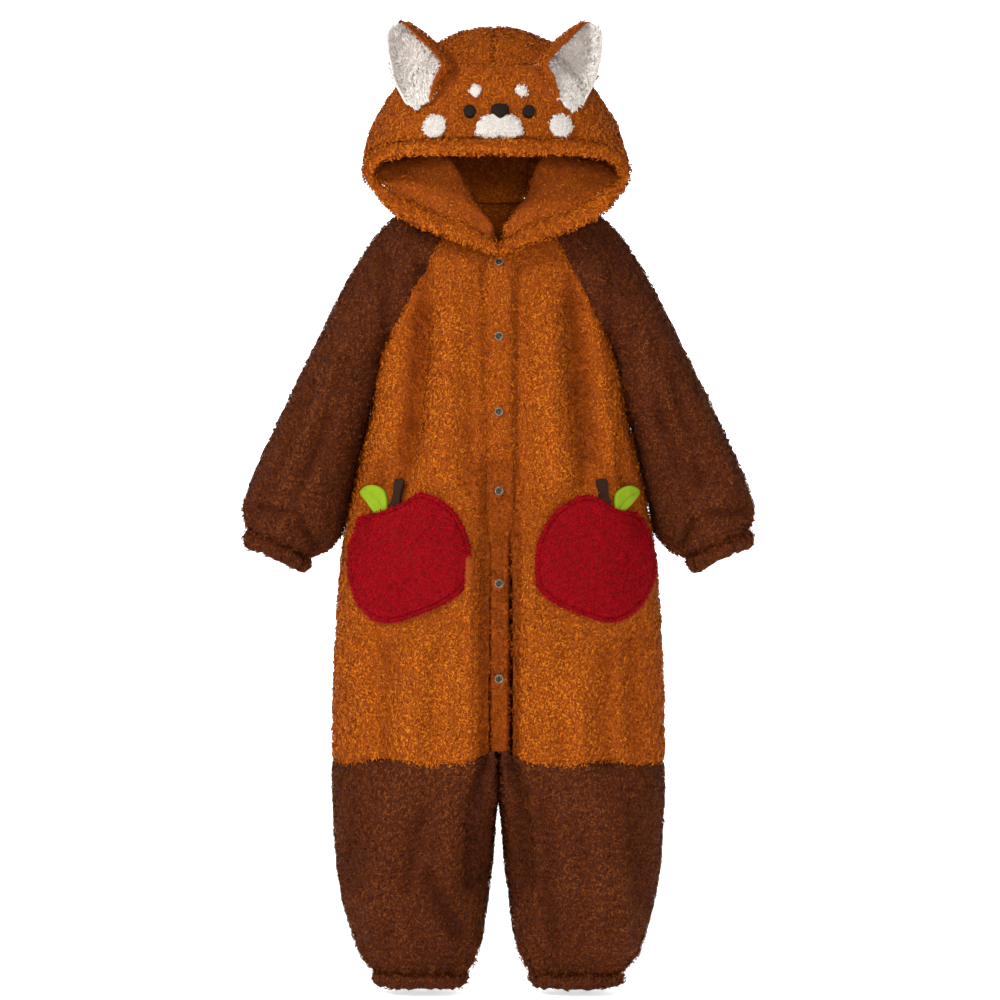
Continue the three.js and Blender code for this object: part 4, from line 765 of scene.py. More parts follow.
def colour_by(tree, factor, shade, places, shader):
    """Base colour of a shader that goes from dark to bright with a factor."""
    node = tree.nodes.new("ShaderNodeValToRGB")
    elements = node.color_ramp.elements
    elements[0].position, elements[0].color = places[0], shade.dark
    elements[1].position, elements[1].color = places[2], shade.bright
    elements.new(places[1]).color = shade.middle
    tree.links.new(factor, node.inputs["Fac"])
    tree.links.new(node.outputs["Color"], shader.inputs["Base Color"])


def noise_factor(tree, scale, detail, distortion=0.0):
    coordinates = tree.nodes.new("ShaderNodeTexCoord")
    noise = tree.nodes.new("ShaderNodeTexNoise")
    set_inputs(noise, Scale=scale, Detail=detail, Distortion=distortion)
    tree.links.new(coordinates.outputs["Object"], noise.inputs["Vector"])
    return noise.outputs["Fac"]


def pile_material(slot):
    """Strands: painted shade at the root and a painted highlight at the tip, in patches a hand wide."""
    material, tree, shader = new_material(slot + "_strands", Roughness=0.78, Specular_IOR_Level=0.06)
    tone = tree.nodes.new("ShaderNodeAttribute")
    tone.attribute_name = "tone"
    spread = tree.nodes.new("ShaderNodeMapRange")
    set_inputs(spread, From_Min=0.3, From_Max=0.7, To_Min=-0.07, To_Max=0.07)
    total = tree.nodes.new("ShaderNodeMath")
    tree.links.new(noise_factor(tree, 14, 3), spread.inputs["Value"])
    tree.links.new(spread.outputs["Result"], total.inputs[0])
    tree.links.new(tone.outputs["Fac"], total.inputs[1])
    colour_by(tree, total.outputs["Value"], SHADES[slot], (0.0, 0.5, 1.0), shader)
    return material


def cloth_material(slot):
    """Ground of the pile: short matted curls, with painted shade in their low gaps and painted light on their
    tops.
    """
    scale, height = FINE_CURLS.get(slot, FLEECE_CURLS)
    material, tree, shader = new_material(slot + "_ground", Roughness=0.9, Specular_IOR_Level=0.2)
    curls = noise_factor(tree, scale, 3, 1.6)
    dark, middle, bright = SHADES[slot]
    # Painted shade: where the curls' bump is low the ground takes a darker colour, half way from dark to
    # middle.
    gap = tuple((low + high) / 2 for low, high in zip(dark, middle))
    colour_by(tree, curls, Shade(gap, middle, bright), (0.38, 0.62, 0.85), shader)
    bump = tree.nodes.new("ShaderNodeBump")
    set_inputs(bump, Distance=height, Strength=0.9)
    tree.links.new(curls, bump.inputs["Height"])
    tree.links.new(bump.outputs["Normal"], shader.inputs["Normal"])
    return material


def metal_material(name, shade):
    material, tree, shader = new_material(name, Metallic=0.6, Roughness=0.38)
    colour_by(tree, noise_factor(tree, 700, 4), shade, (0.3, 0.5, 0.75), shader)
    return material


CLOTH = {slot: cloth_material(slot) for slot in CLOTH_SLOTS}
PILE = {slot: pile_material(slot) for slot in CLOTH_SLOTS}
METAL = metal_material("button_metal_brushed", SHADES["button_metal"])
# The darker metal of a button's dish is painted shade of the recess.
DISH_PAINTED_SHADE = metal_material("button_metal_dish_painted_shade", Shade(srgb(26, 20, 15), srgb(58, 48, 38), srgb(100, 86, 70)))

# Name of each side, whether its grids are mirrored, and the sign of x.
SIDES = [("left", True, -1), ("right", False, 1)]

# ---------------------------------------------------------------- outlines of what lies on the cloth


def smooth_outline(points, count):
    """Closed smooth outline through a few points, evenly spaced."""
    points = np.array(points, float)
    looped = np.concatenate([points[-1:], points, points[:3]])
    fine = through(looped, np.linspace(1, len(points) + 1, 800))[:-1]
    closed = np.append(fine, fine[:1], 0)
    length = np.append(0, norm(np.diff(closed, axis=0), axis=1).cumsum())
    where = np.linspace(0, length[-1], count, endpoint=False)
    return np.stack([np.interp(where, length, closed[:, k]) for k in range(2)], -1)


def circle(count):
    """Angles of evenly spaced points round a circle."""
    return np.arange(count) / count * 2 * np.pi


def ellipse_outline(dot, count):
    angle = circle(count)
    across, up = dot.half_width * np.cos(angle), dot.half_height * np.sin(angle)
    x = dot.x + across * math.cos(dot.lean) - up * math.sin(dot.lean)
    z = dot.z + across * math.sin(dot.lean) + up * math.cos(dot.lean)
    return np.stack([x, z], -1)


def stem_outline(pocket, count):
    top, bottom = np.array(pocket.stem_top, float), np.array(pocket.stem_bottom, float)
    waist = (top + bottom) / 2
    wide, narrow = np.array([pocket.stem_half, 0]), np.array([pocket.stem_half * 0.85, 0])
    return smooth_outline([bottom - wide, bottom + wide, waist + narrow, top + wide, top + (0, 2), top - wide,
                           waist - narrow], count)


def thicker(outline, centre, grow):
    """Outline moved out from its centre by `grow` millimetres, or in if it is negative."""
    reach = outline - np.array(centre)
    length = np.hypot(*reach.T)[:, None]
    return centre + reach * (length + grow) / length


def bare_ground(outline, centre, widen):
    """Ground under another piece: its centre, and the directions and radii of its widened outline."""
    reach = np.array(outline, float) - centre
    turn = np.arctan2(reach[:, 1], reach[:, 0])
    order = np.argsort(turn)
    return centre, turn[order], np.hypot(*reach[order].T) + widen


def clear_of(bare):
    """Keep function: no blade has its root inside one of the bare grounds."""
    def keep(roots):
        free = np.ones(len(roots))
        for centre, turn, radius in bare:
            dx, dz = roots[:, 0] - centre[0], roots[:, 2] - centre[1]
            edge = np.interp(np.arctan2(dz, dx), turn, radius, period=2 * np.pi)
            free[np.hypot(dx, dz) < edge] = 0
        return free
    return keep


def middle_of(points):
    return np.mean(points, axis=0)


POCKET_BARE = 2.5
BUTTON_GROUND = 7
FACE_BARE = [bare_ground(ellipse_outline(dot, 36), (dot.x, dot.z), 1.2) for dot in FACE_DOTS]
FACE_BARE += [bare_ground(smooth_outline(form["outline"], 72), form["centre"], 1) for form in (MUZZLE, NOSE)]
BAND_BARE = []
for button_z in BUTTON_HEIGHTS:
    place = PatchPlace("button", BUTTON_X, button_z, BUTTON_GROUND, BUTTON_GROUND, 0, 0, "button_metal")
    BAND_BARE.append(bare_ground(ellipse_outline(place, 24), (BUTTON_X, button_z), 0))
FRONT_BARE = []
for pocket in POCKETS:
    FRONT_BARE += [
        bare_ground(smooth_outline(pocket.outline, 90), pocket.centre, POCKET_BARE),
        bare_ground(smooth_outline(pocket.leaf, 60), middle_of(pocket.leaf), 0.5),
        bare_ground(stem_outline(pocket, 48), middle_of([pocket.stem_top, pocket.stem_bottom]), 0.5)]

# ---------------------------------------------------------------- body, sleeves and legs

# The body ends and the legs begin a little above the seam line, which the body's pile hangs down to.
BODY_END = 0.9935
LEG_START = -0.018
ALL_EDGES = ("u0", "u1", "v0", "v1")


def level_at_waist(vs):
    return 1 - ramp(vs, 0.93, 0.99)


def make_body():
    for number, (side, mirror, _) in enumerate(SIDES):
        start = -BAND["left"] if mirror else BAND["right"]
        grid = cloth_grid(front_surface(start - 2), -1, v=(0, BODY_END), mirror=mirror, relief=fold_height,
                          seams=ALL_EDGES, lift=waist_lift, upright=level_at_waist)
        cloth(f"front_{side}", grid, "orange_fleece", FLEECE, seed=10 + number, keep=clear_of(FRONT_BARE))
    grid = cloth_grid(body_surface(BACK_ROWS, back_points), 1, (-1, 1), (-0.003, BODY_END),
                      relief=fold_height, seams=ALL_EDGES, upright=level_at_waist)
    cloth("back", grid, "orange_fleece", FLEECE, seed=12, inside=lambda roots: ramp(roots[:, 2], -60, -30))
    grid = cloth_grid(body_surface(FRONT_ROWS, band_points), -1, v=(0.004, 0.989), relief=fold_height,
                      lift=waist_lift, cell=3.5, seams=("u0", "u1"), seam_depth=4)
    height = BAND["raise"] * ramp(grid.points[..., 2], *BAND_RISE) + BAND["low"]
    cloth("button_band", raised(grid, height[..., None]), "orange_fleece", FLEECE, seed=13, deep=7,
          keep=clear_of(BAND_BARE))


# Middle of the wrist in |x| and z, and the direction of the arm there.
WRIST = (292, -430)
ARM = (0.41, -0.91)
ANKLE_X = 102
GATHER_DEPTH = 4
# The pile of the cuffs is brushed up, so their lower edge is clean.
CUFF_FLOW = (0, 0, 1)


def wrist_turn(points):
    """Angle round the wrist's axis."""
    x = np.abs(points[..., 0])
    return np.arctan2(points[..., 1], (x - WRIST[0]) * -ARM[1] + (points[..., 2] - WRIST[1]) * ARM[0])


def ankle_turn(points):
    return np.arctan2(points[..., 1], np.abs(points[..., 0]) - ANKLE_X)


def uneven_wave(turn, count, seed):
    """Gathers round a ring, uneven in width and depth."""
    warp = turn + 0.16 * np.sin(3 * turn + seed) + 0.07 * np.sin(7 * turn + 2 * seed)
    depth = 0.75 + 0.3 * np.sin(2 * turn + seed) + 0.2 * np.sin(5 * turn + 3 * seed)
    return depth * np.sin(count * warp)


def wrist_gathers(points):
    """Gathers of the sleeve's end and of the cuff that is sewn to it."""
    along = np.abs(points[..., 0]) * ARM[0] + points[..., 2] * ARM[1]
    return GATHER_DEPTH * uneven_wave(wrist_turn(points), 12, 1.3) * ramp(along, 440, 500)


def ankle_gathers(points):
    return GATHER_DEPTH * uneven_wave(ankle_turn(points), 14, 0.7) * ramp(-points[..., 2], 915, 978)


def make_tube(name, surface, v, mirror, gathers, seed, **options):
    """Sleeve or leg, whose folds run into the gathers at its end."""
    grid = cloth_grid(surface, -1, v=v, ring=True, mirror=mirror, seams=("v0", "v1"),
                      relief=lambda points: fold_height(points) + gathers(points), **options)
    cloth(name, grid, "brown_fleece", FLEECE, seed=seed)


def make_cuff(name, surface, mirror, gathers, turn_of, seed):
    """Gathered cuff: the gathers fade from its seam and a finer ruffle takes over."""
    def ruffle(points):
        return 0.5 * gathers(points) + 1.5 * uneven_wave(turn_of(points), 17, 2.1)

    grid = cloth_grid(surface, -1, v=(-0.16, 1), ring=True, mirror=mirror, cell=3, relief=ruffle,
                      seams=("v0",), seam_depth=4.5)
    cloth(name, grid, "brown_fleece", FLEECE, seed=seed, flow=CUFF_FLOW, fullness=1.12)


def make_shoulders_and_sleeves():
    sleeve, wrist = ring_surface(arm_ring, SLEEVE_RINGS), ring_surface(arm_ring, WRIST_RINGS)
    for number, (side, mirror, _) in enumerate(SIDES):
        grid = cloth_grid(yoke_surface, -1, (-0.006, 1.006), (0, 1.004), mirror=mirror,
                          relief=fold_height, seams=("u0", "u1", "v1"))
        cloth(f"yoke_{side}", grid, "brown_fleece", FLEECE, seed=20 + number)
        make_tube(f"sleeve_{side}", sleeve, (-0.012, 1.015), mirror, wrist_gathers, 22 + number)
        make_cuff(f"wrist_cuff_{side}", wrist, mirror, wrist_gathers, wrist_turn, 24 + number)


def make_legs():
    ankle = ring_surface(leg_ring, ANKLE_RINGS)
    for number, (side, mirror, _) in enumerate(SIDES):
        make_tube(f"lower_leg_{side}", leg_surface, (LEG_START, 1.015), mirror, ankle_gathers, 30 + number,
                  lift=waist_lift, upright=lambda vs: ramp(vs, 0.01, 0.08))
        make_cuff(f"ankle_cuff_{side}", ankle, mirror, ankle_gathers, ankle_turn, 32 + number)


# ---------------------------------------------------------------- hood

HoodPanel = namedtuple("HoodPanel", "name from_rib to_rib from_across to_across seams inside")
# The panels start inside the hem and end a little past the neck seam, so no light comes through.
HEM_LAP = 0.84
NECK_LAP = 7.05


LAST_RIB = 2 * MIDDLE_RIB
HOOD_PANELS = [HoodPanel(*panel) for panel in [
    ("hood_face", FACE_SIDE_RIB, LAST_RIB - FACE_SIDE_RIB, HEM_LAP, 3, ("v0",), 0.5),
    ("hood_crown_right", FACE_SIDE_RIB, MIDDLE_RIB, 3, NECK_LAP, ("u0", "u1", "v1"), 1),
    ("hood_crown_left", MIDDLE_RIB, LAST_RIB - FACE_SIDE_RIB, 3, NECK_LAP, ("u0", "u1", "v1"), 1),
    ("hood_side_right", 0, FACE_SIDE_RIB, HEM_LAP, NECK_LAP, ("v0", "v1"), 0.6),
    ("hood_side_left", LAST_RIB - FACE_SIDE_RIB, LAST_RIB, HEM_LAP, NECK_LAP, ("v0", "v1"), 0.6)]]


def away_from(tree, distance):
    """Keep function: no blade within `distance` of a surface."""
    return lambda roots: np.array([tree.find_nearest(Vector(root))[3] > distance for root in roots], float)


def make_hood():
    ears = away_from(surface_tree(["ear_lining_left", "ear_lining_right"]), EAR_BARE)
    face = clear_of(FACE_BARE)
    for number, panel in enumerate(HOOD_PANELS):
        grid = cloth_grid(hood_surface, -1, (panel.from_rib, panel.to_rib),
                          (panel.from_across, panel.to_across), seams=panel.seams, cell=5, seam_depth=4.5)
        keep = ears
        if panel.name == "hood_face":
            keep = lambda roots: ears(roots) * face(roots)
        inside = lambda roots, share=panel.inside: np.full(len(roots), share)
        cloth(panel.name, raised(grid, HALF_WALL), "orange_fleece", FLEECE, seed=40 + number, inside=inside,
              keep=keep)


HEM_CROSS = 0.3
# At the throat the left end of the hem lies over the right one.
HEM_OVER = 4
HEM_STATIONS = 280
HEM_SIDES = 26
HEM_SINK = 1.6
# How quickly the hem reaches its full thickness from its ends, and its thinnest part.
HEM_END_STEEP = 60
HEM_END_THIN = 0.05


def make_hem():
    """Padded fold-over hem round the face opening, a plump strip from throat to throat."""
    ribs = np.linspace(-HEM_CROSS, LAST_RIB + HEM_CROSS, HEM_STATIONS)
    rim, sewn = hood_surface(ribs, [0, 1])
    normals = grid_normals(hood_surface(ribs, [0.45, 0.5, 0.55]), False, -1)[1]
    middle = (rim + sewn) / 2
    middle[:, 1] -= HEM_OVER * ramp(ribs, LAST_RIB - 0.8, LAST_RIB)
    place = np.linspace(0, 1, HEM_STATIONS)
    ends = np.sqrt(np.clip(np.minimum(place, 1 - place) * HEM_END_STEEP, HEM_END_THIN, 1))
    lumps = 1 + 0.07 * np.sin(place * 83) + 0.05 * np.sin(place * 147 + 1)
    plump = HEM_THICKNESS / 2 * ends * lumps
    angle = circle(HEM_SIDES)
    points = middle[:, None] + ((sewn - rim) / 2)[:, None] * np.cos(angle)[None, :, None] * 0.97
    points = points + normals[:, None] * (plump[:, None] * np.sin(angle)[None])[..., None]
    outward = grid_normals(points, True, 1)
    if ((points - middle[:, None]) * outward).sum() < 0:
        outward = -outward
    skin = points - HEM_SINK * outward
    first = np.arange(HEM_SIDES)[None]
    last = first + (HEM_STATIONS - 1) * HEM_SIDES
    faces = [grid_quads(HEM_STATIONS, HEM_SIDES, True), first[:, ::-1], last]
    piece = closed_object("hood_hem", skin.reshape(-1, 3), faces, CLOTH["orange_fleece"])
    finish_piece(piece, "orange_fleece", ["hood_hem"])

    def flow(roots):
        nearest = norm(roots[:, None] - rim[None, ::4], axis=2).argmin(1) * 4
        return rim[nearest] - sewn[nearest]

    pile = blades("hood_hem_pile", Grid(skin, outward, True), HEM_PILE, PILE["orange_fleece"], 60, flow)
    finish_piece(pile, "orange_fleece")


# ---------------------------------------------------------------- what lies on the cloth


def surface_tree(names):
    """Tree of the skins of the named objects, for rays and nearest points."""
    points, faces = [], []
    for name in names:
        mesh = bpy.data.objects[name].data
        start = len(points)
        points += [vertex.co / MM for vertex in mesh.vertices]
        faces += [[start + index for index in polygon.vertices] for polygon in mesh.polygons]
    return BVHTree.FromPolygons(points, faces)


RAY_FROM_Y = -400
NORMAL_SPREAD = 4


def over(tree, x, z):
    """Point and soft outward normal of the cloth over (x, z) as seen from the front."""
    hit, _, _, _ = tree.ray_cast(Vector((x, RAY_FROM_Y, z)), Vector((0, 1, 0)))
    if hit is None:
        hit = tree.find_nearest(Vector((x, -100, z)))[0]
    normal = Vector()
    for dx, dz in ((0, 0), (1, 0), (-1, 0), (0, 1), (0, -1)):
        start = Vector((x + dx * NORMAL_SPREAD, RAY_FROM_Y, z + dz * NORMAL_SPREAD))
        found = tree.ray_cast(start, Vector((0, 1, 0)))
        if found[0] is not None:
            normal += found[1] if found[1].y < 0 else -found[1]
    return np.array(hit), np.array(normal.normalized())


def patch_grid(tree, centre, outline, shares, height, normal_at):
    """Polar grid of a piece on the cloth: rows are rings round the centre, from inside out."""
    rows = []
    for share in shares:
        row = []
        for index, (x, z) in enumerate(outline):
            at = (centre[0] + (x - centre[0]) * share, centre[1] + (z - centre[1]) * share)
            point, normal = over(tree, *at)
            if normal_at:
                normal = normal_at(at[0])
            row.append(point + normal * height(share, index / len(outline)))
        rows.append(row)
    points = np.array(rows)
    normals = grid_normals(points, True, 1)
    if normals[..., 1].mean() > 0:
        normals = -normals
    return Grid(points, normals, True)


def patch_object(name, tree, centre, outline, shares, low, high, slot, pile=None, seed=1, keep=None,
                 normal_at=None):
    """Closed cushion-like piece inside an outline, with pile on its outer skin."""
    outer = patch_grid(tree, centre, outline, shares, high, normal_at)
    inner = patch_grid(tree, centre, outline, shares, low, normal_at)
    rows, columns = outer.points.shape[:2]
    points = np.concatenate([outer.points.reshape(-1, 3), inner.points.reshape(-1, 3)])
    quads = shell_faces(rows, columns, True)
    inner_edge = len(quads) - 2 * columns
    quads = np.delete(quads, np.arange(inner_edge, inner_edge + columns), 0)
    caps = [np.arange(columns)[None, ::-1], np.arange(columns)[None] + rows * columns]
    piece = finish_piece(closed_object(name, points, [quads, *caps], CLOTH[slot]), slot, [name])
    extras = []
    if pile:
        middle = over(tree, *centre)[0]
        grown = blades(name + "_pile", outer, pile, PILE[slot], seed, lambda roots: roots - middle, keep)
        extras = [finish_piece(grown, slot)]
    return piece, extras, outer


CUSHION_EDGE = 0.45
# The ground of a white piece stays under its pile; a smooth dark one stands up out of the fleece.
WHITE_RISE = -1
DARK_RISE = 2.2
CUSHION_SINK = -2.0
# How far the ground of each white piece stays inside its outline: its pile covers the rest.
PLUSH_INSET = {"brow_left": 1.2, "brow_right": 1.2, "cheek_left": 1.6, "cheek_right": 1.6, "muzzle": 1.6}


def cushion(rise):
    return lambda share, turn: rise * (CUSHION_EDGE + (1 - CUSHION_EDGE) * math.sqrt(max(1 - share**2, 0)))


def sunk(share, turn):
    return CUSHION_SINK


def make_face():
    """White plush pieces, and smooth dark eyes and a nose that stand up out of the pile."""
    tree = surface_tree(["hood_face", "hood_hem"])
    shares = np.sin(np.linspace(0.06, 1, 9) * np.pi / 2)
    for number, dot in enumerate(FACE_DOTS):
        white = dot.slot == "white_plush"
        outline = ellipse_outline(dot, 36)
        if white:
            outline = thicker(outline, (dot.x, dot.z), -PLUSH_INSET[dot.name])
        height = cushion(dot.rise + (WHITE_RISE if white else DARK_RISE))
        patch_object(dot.name, tree, (dot.x, dot.z), outline, shares, sunk, height, dot.slot,
                     PLUSH if white else None, 70 + number)
    centre = MUZZLE["centre"]
    outline = thicker(smooth_outline(MUZZLE["outline"], 72), centre, -PLUSH_INSET["muzzle"])
    nose_outline = smooth_outline(NOSE["outline"], 72)
    under_nose = clear_of([bare_ground(nose_outline, NOSE["centre"], 3)])
    patch_object("muzzle", tree, centre, outline, shares, sunk, cushion(MUZZLE["rise"]), "white_plush",
                 PLUSH, 80, keep=under_nose)
    patch_object("nose", tree, NOSE["centre"], nose_outline, shares, sunk, cushion(NOSE["rise"]),
                 "dark_plush")


EAR_BARE = 12
EAR_RIM_BARE = 6
# The pile of an ear's back stays clear of the hood, and the pile inside it also of the lining.
HOOD_BARE = 3
INSIDE_HOOD_BARE = 10
LINING_BARE = 7
LINING_CLEAR = 4.5


def clamp_to_hood(points, tree, depth):
    """Points that would lie inside the hood, or closer to it than `depth`, come out to that height."""
    flat = points.reshape(-1, 3).copy()
    for index, point in enumerate(flat):
        near, normal, _, _ = tree.find_nearest(Vector(point))
        away = Vector(point) - near
        if away.dot(normal) < 0 or away.length < depth:
            flat[index] = np.array(near + normal * depth)
    return flat.reshape(points.shape)


# Start, end and number of points each way of the lining and of the ear's back.
LINING_U, LINING_V = (-0.05, 0.81, 56), (-0.09, 0.985, 42)
BACK_U, BACK_V = (0, 1, 60), (0, 1, 40)
LINING_PAD = 15
# Rows by which the lower corners of the lining are drawn up, so that it ends in a round.
LINING_ROUND = 7


def rounded_start(rows):
    count, columns = rows.shape[:2]
    start = LINING_ROUND * (1 - np.sin(np.linspace(0, np.pi, columns)))
    return np.stack([through(rows[:, k], np.linspace(start[k], count - 1, count)) for k in range(columns)], 1)


def make_ears():
    """Bowls of fleece; the plush lining is padded and leaves the fleece bare along the inner side."""
    tree = surface_tree(["hood_face_skin"])
    for number, (side, mirror, sign) in enumerate(SIDES):
        us, vs = np.linspace(*LINING_U), np.linspace(*LINING_V)
        points, normals = (rounded_start(rows) for rows in ear_points(us, vs, sign))
        pad = LINING_PAD * np.outer(*(np.sin(np.linspace(0, np.pi, len(axis))) for axis in (vs, us)))
        fleece_side = points - (EAR["wall"] + 0.3) * normals
        inner = fleece_side - pad[..., None] * normals
        lining = Grid(clamp_to_hood(inner, tree, LINING_CLEAR), -normals, False)
        middle = lining.points.mean(axis=(0, 1))
        cloth(f"ear_lining_{side}", lining, "white_plush", EAR_PLUSH, seed=94 + number,
              flow=lambda roots: roots - middle, deep=EAR["lining"], sink=-1.5, spread=0.5)
        points, normals = ear_points(np.linspace(*BACK_U), np.linspace(*BACK_V), sign)
        back = Grid(clamp_to_hood(points, tree, 1), normals, False)
        flat = [Vector(point) for point in fleece_side.reshape(-1, 3)]
        behind = BVHTree.FromPolygons(flat, grid_quads(*fleece_side.shape[:2], False).tolist())
        rim = lining.points[:, 0]
        on_hood, hidden = away_from(tree, HOOD_BARE), away_from(tree, INSIDE_HOOD_BARE)
        covered = away_from(surface_tree([f"ear_lining_{side}"]), LINING_BARE)
        bare = away_from(behind, LINING_BARE)

        def keep(roots):
            return on_hood(roots) * (norm(roots[:, None] - rim, axis=2).min(1) > EAR_RIM_BARE)

        def inside(roots):
            return bare(roots) * hidden(roots) * covered(roots)

        cloth(f"ear_back_{side}", back, "orange_fleece", FLEECE, seed=90 + number, flow=(0, 0, 1),
              deep=EAR["wall"], spread=0.6, inside=inside, keep=keep)


def ear_points(us, vs, sign):
    points = ear_surface(us, vs)
    normals = grid_normals(points, False, 1)
    points[..., 0] = sign * points[..., 0] + HOOD_SHIFT
    normals[..., 0] *= sign
    return points, normals


def make_hood_skin():
    """Stand-in for the hood's outer skin, for placing the ears; it is removed again."""
    grid = cloth_grid(hood_surface, -1, (FACE_SIDE_RIB, LAST_RIB - FACE_SIDE_RIB), (1, 7))
    quads = grid_quads(*grid.points.shape[:2], False)
    points = raised(grid, HALF_WALL - FLEECE.sink).points.reshape(-1, 3)
    start, right, _, below = points[quads[0]]
    if np.cross(right - start, below - start) @ grid.normals.reshape(-1, 3)[quads[0, 0]] < 0:
        quads = quads[:, ::-1]
    make_object("hood_face_skin", points, [quads], CLOTH["orange_fleece"])


def make_neck_tape():
    grid = cloth_grid(hood_surface, -1, (6.2, 7.8), (6.45, 7.12), cell=3)
    inner = Grid(grid.points - (HALF_WALL + 0.3) * grid.normals, -grid.normals, False)
    cloth("neck_tape", inner, "orange_fleece", VELVET, seed=99, flow=(1, 0, 0), deep=2, sink=-2.2)


HIP = {"half_width": 213, "half_depth": 111}


def body_normal(x):
    """Outward normal of the front at the hips, without its folds."""
    share = min(abs(x) / HIP["half_width"], 0.99)
    forward = (1 - share**SQUARENESS) ** ((SQUARENESS - 1) / SQUARENESS) / HIP["half_depth"]
    normal = np.array([math.copysign(share ** (SQUARENESS - 1), x) / HIP["half_width"], -forward, 0])
    return unit(normal)


POCKET = {"wall": 5.6, "plump": 3, "gap": 5.4, "steep": 2, "belly": 2.5, "sink": -0.4, "roll": 0.45}
STITCH = {"at": 0.93, "half_width": 0.016, "depth": 3.2}
LEAF = {"height": 5.2, "dish": 1.2, "vein": 1.6, "vein_half_width": 1.6, "edge": 1.0}
STEM = {"height": 4.2, "edge": 1.2}


def pocket_mouth(turn):
    along = max(math.sin(math.pi * turn / POCKET_MOUTH_SHARE), 0)
    return min(POCKET["steep"] * along, 1) if turn < POCKET_MOUTH_SHARE else 0


def pocket_low(share, turn):
    return (POCKET["belly"] * (1 - share**4) - POCKET["sink"] * share**4
            + POCKET["gap"] * pocket_mouth(turn) * share**2)


def pocket_high(share, turn):
    """Outer skin: rolled in at the edge, with a stitched trough just inside it."""
    roll = 1 - POCKET["roll"] * ramp(share, 0.95, 1.0)
    trough = STITCH["depth"] * math.exp(-(((share - STITCH["at"]) / STITCH["half_width"]) ** 2))
    return pocket_low(share, turn) + (POCKET["wall"] + POCKET["plump"] * (1 - share**2)) * roll - trough


def make_pockets():
    tree = surface_tree(["front_left", "front_right"])
    for number, pocket in enumerate(POCKETS):
        outline = smooth_outline(pocket.outline, 120)
        shares = np.append(np.linspace(0.03, 0.86, 16), np.linspace(0.89, 1, 8))
        piece, extras, _ = patch_object(f"pocket_{pocket.side}", tree, pocket.centre, outline, shares,
                                        pocket_low, pocket_high, "red_plush", VELVET, 100 + number,
                                        normal_at=body_normal)
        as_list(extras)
        make_leaf(pocket, tree)
        make_stem(pocket, tree)


def make_leaf(pocket, tree):
    outline = smooth_outline(pocket.leaf, 60)
    centre = middle_of(pocket.leaf)
    vein = through(np.array(pocket.leaf_vein, float), np.linspace(0, len(pocket.leaf_vein) - 1, 60))

    def high(share, turn):
        at = centre + (outline[int(turn * len(outline))] - centre) * share
        crease = np.exp(-((norm(vein - at, axis=1).min() / LEAF["vein_half_width"]) ** 2))
        rise = LEAF["height"] + LEAF["dish"] * share**2
        return rise - LEAF["vein"] * crease - LEAF["edge"] * ramp(share, 0.9, 1)

    patch_object(f"leaf_{pocket.side}", tree, centre, outline, np.linspace(0.05, 1, 14),
                 sunk, high, "green_felt")


def make_stem(pocket, tree):
    centre = middle_of([pocket.stem_top, pocket.stem_bottom])
    patch_object(f"stem_{pocket.side}", tree, centre, stem_outline(pocket, 48), np.linspace(0.05, 1, 10),
                 sunk, lambda share, turn: STEM["height"] - STEM["edge"] * ramp(share, 0.8, 1), "brown_felt")


# Radius and height of a button's rings, from the middle of its dish out and down to the band.
BUTTON_PROFILE = [(0, 1.9), (1.0, 1.8), (1.5, 1.1), (3.3, 0.9), (3.7, 2.4), (4.4, 3.3), (5.2, 3.1),
                  (5.8, 2.2), (6, 1.0), (6, -1)]
DISH_RINGS = 3
BUTTON_LIFT = 2
BUTTON_SIDES = 40


def make_buttons():
    """Ring snaps: a raised rim round a dished middle, whose darker metal is painted shade of the recess."""
    tree = surface_tree(["button_band"])
    count = BUTTON_SIDES
    cos, sin = np.cos(circle(count))[:, None], np.sin(circle(count))[:, None]
    for number, z in enumerate(BUTTON_HEIGHTS):
        seat, normal = over(tree, BUTTON_X, z)
        up = unit(np.cross(normal, [1, 0, 0]))
        right = np.cross(up, normal)
        rings = [seat + normal * (height + BUTTON_LIFT) + radius * (cos * right + sin * up)
                 for radius, height in BUTTON_PROFILE[1:]]
        points = np.concatenate([*rings, [seat + normal * (BUTTON_PROFILE[0][1] + BUTTON_LIFT)],
                                 [seat - normal]])
        quads = grid_quads(len(rings), count, True)
        top, under = len(points) - 2, len(points) - 1
        inner = np.arange(count)
        outer = inner + (len(rings) - 1) * count
        caps = [np.stack([np.roll(inner, -1), inner, np.full(count, top)], -1),
                np.stack([outer, np.roll(outer, -1), np.full(count, under)], -1)]
        button = closed_object(f"button_{number + 1}", points, [quads, *caps], METAL)
        # Painted shade: the faces of the dish and the cap in its middle get the darker metal.
        button.data.materials.append(DISH_PAINTED_SHADE)
        in_dish = np.zeros(len(button.data.polygons), np.int32)
        in_dish[:DISH_RINGS * count] = 1
        in_dish[len(quads):len(quads) + count] = 1
        button.data.polygons.foreach_set("material_index", in_dish)
        finish_piece(button, "button_metal", [f"button_{number + 1}"])


# ---------------------------------------------------------------- stage, light and camera

CAMERA = {"x": 0.002, "z": -0.363, "distance": 5.0, "width": 1.32}
FLOOR_Z = -1.013


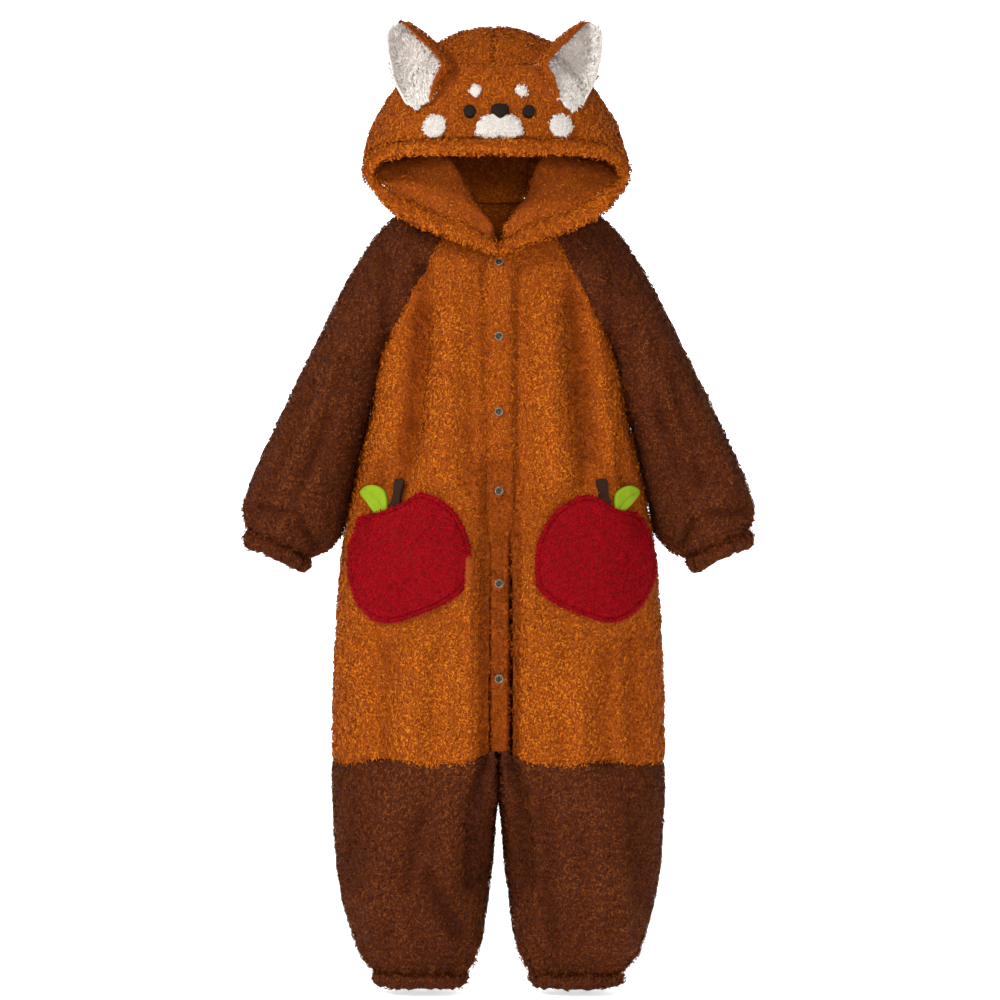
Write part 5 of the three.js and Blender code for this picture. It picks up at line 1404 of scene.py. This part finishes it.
def make_stage():
    """Pale floor that rises into a pale wall far behind."""
    angle = np.linspace(0, np.pi / 2, 16)
    depth, radius, half = 8, 2, 16
    curve = [(depth + radius * math.sin(a), radius * (1 - math.cos(a))) for a in angle]
    profile = [(-16, 0), *curve, (10, 12)]
    points = np.array([(x * half, y, FLOOR_Z + z) for y, z in profile for x in (-1, 1)]) / MM
    white = new_material("stage_white", Base_Color=(0.94, 0.94, 0.94, 1), Roughness=0.9,
                         Emission_Color=(1, 1, 1, 1), Emission_Strength=0.6)[0]
    floor = make_object("stage_floor", points, [grid_quads(len(profile), 2, False)], white)


# Name, place, what it is turned to, size and power.
LIGHTS = [
    ("key", (-2.8, -2.9, 2.5), (0, 0, -0.35), 1.0, 160), ("front", (0.5, -5.2, 0.25), (0, 0, -0.1), 1.6, 84),
    ("fill", (3.0, -2.2, 0.2), (0, 0, -0.4), 2.0, 14), ("wall_left", (-5, 5.5, 3), (-1.5, 10, 0), 3, 700),
    ("wall_right", (5, 5.5, 3), (1.5, 10, 0), 3, 700)]


def add_light(name, place, target, size, power):
    light = bpy.data.lights.new(name, "AREA")
    light.size = size
    light.energy = power
    lamp = bpy.data.objects.new(name, light)
    lamp.location = place
    lamp.visible_camera = False
    lamp.rotation_euler = (Vector(target) - Vector(place)).to_track_quat("-Z", "Y").to_euler()
    bpy.context.scene.collection.objects.link(lamp)


def make_light_and_camera():
    for lamp in LIGHTS:
        add_light(*lamp)
    world = bpy.data.worlds.new("studio")
    world.use_nodes = True
    set_inputs(world.node_tree.nodes["Background"], Color=(1, 1, 1, 1), Strength=0.3)
    bpy.context.scene.world = world
    bpy.context.scene.view_settings.view_transform = "Standard"
    camera = bpy.data.cameras.new("camera")
    camera.lens = camera.sensor_width * CAMERA["distance"] / CAMERA["width"]
    camera.clip_end = 60
    eye = bpy.data.objects.new("camera", camera)
    eye.location = (CAMERA["x"], -CAMERA["distance"], CAMERA["z"])
    eye.rotation_euler = (math.pi / 2, 0, 0)
    bpy.context.scene.collection.objects.link(eye)
    bpy.context.scene.camera = eye


make_body()
make_shoulders_and_sleeves()
make_legs()
make_hood_skin()
make_ears()
bpy.data.objects.remove(bpy.data.objects["hood_face_skin"])
make_hood()
make_hem()
make_neck_tape()
make_face()
make_pockets()
make_buttons()
make_stage()
make_light_and_camera()

bpy.context.view_layer.update()
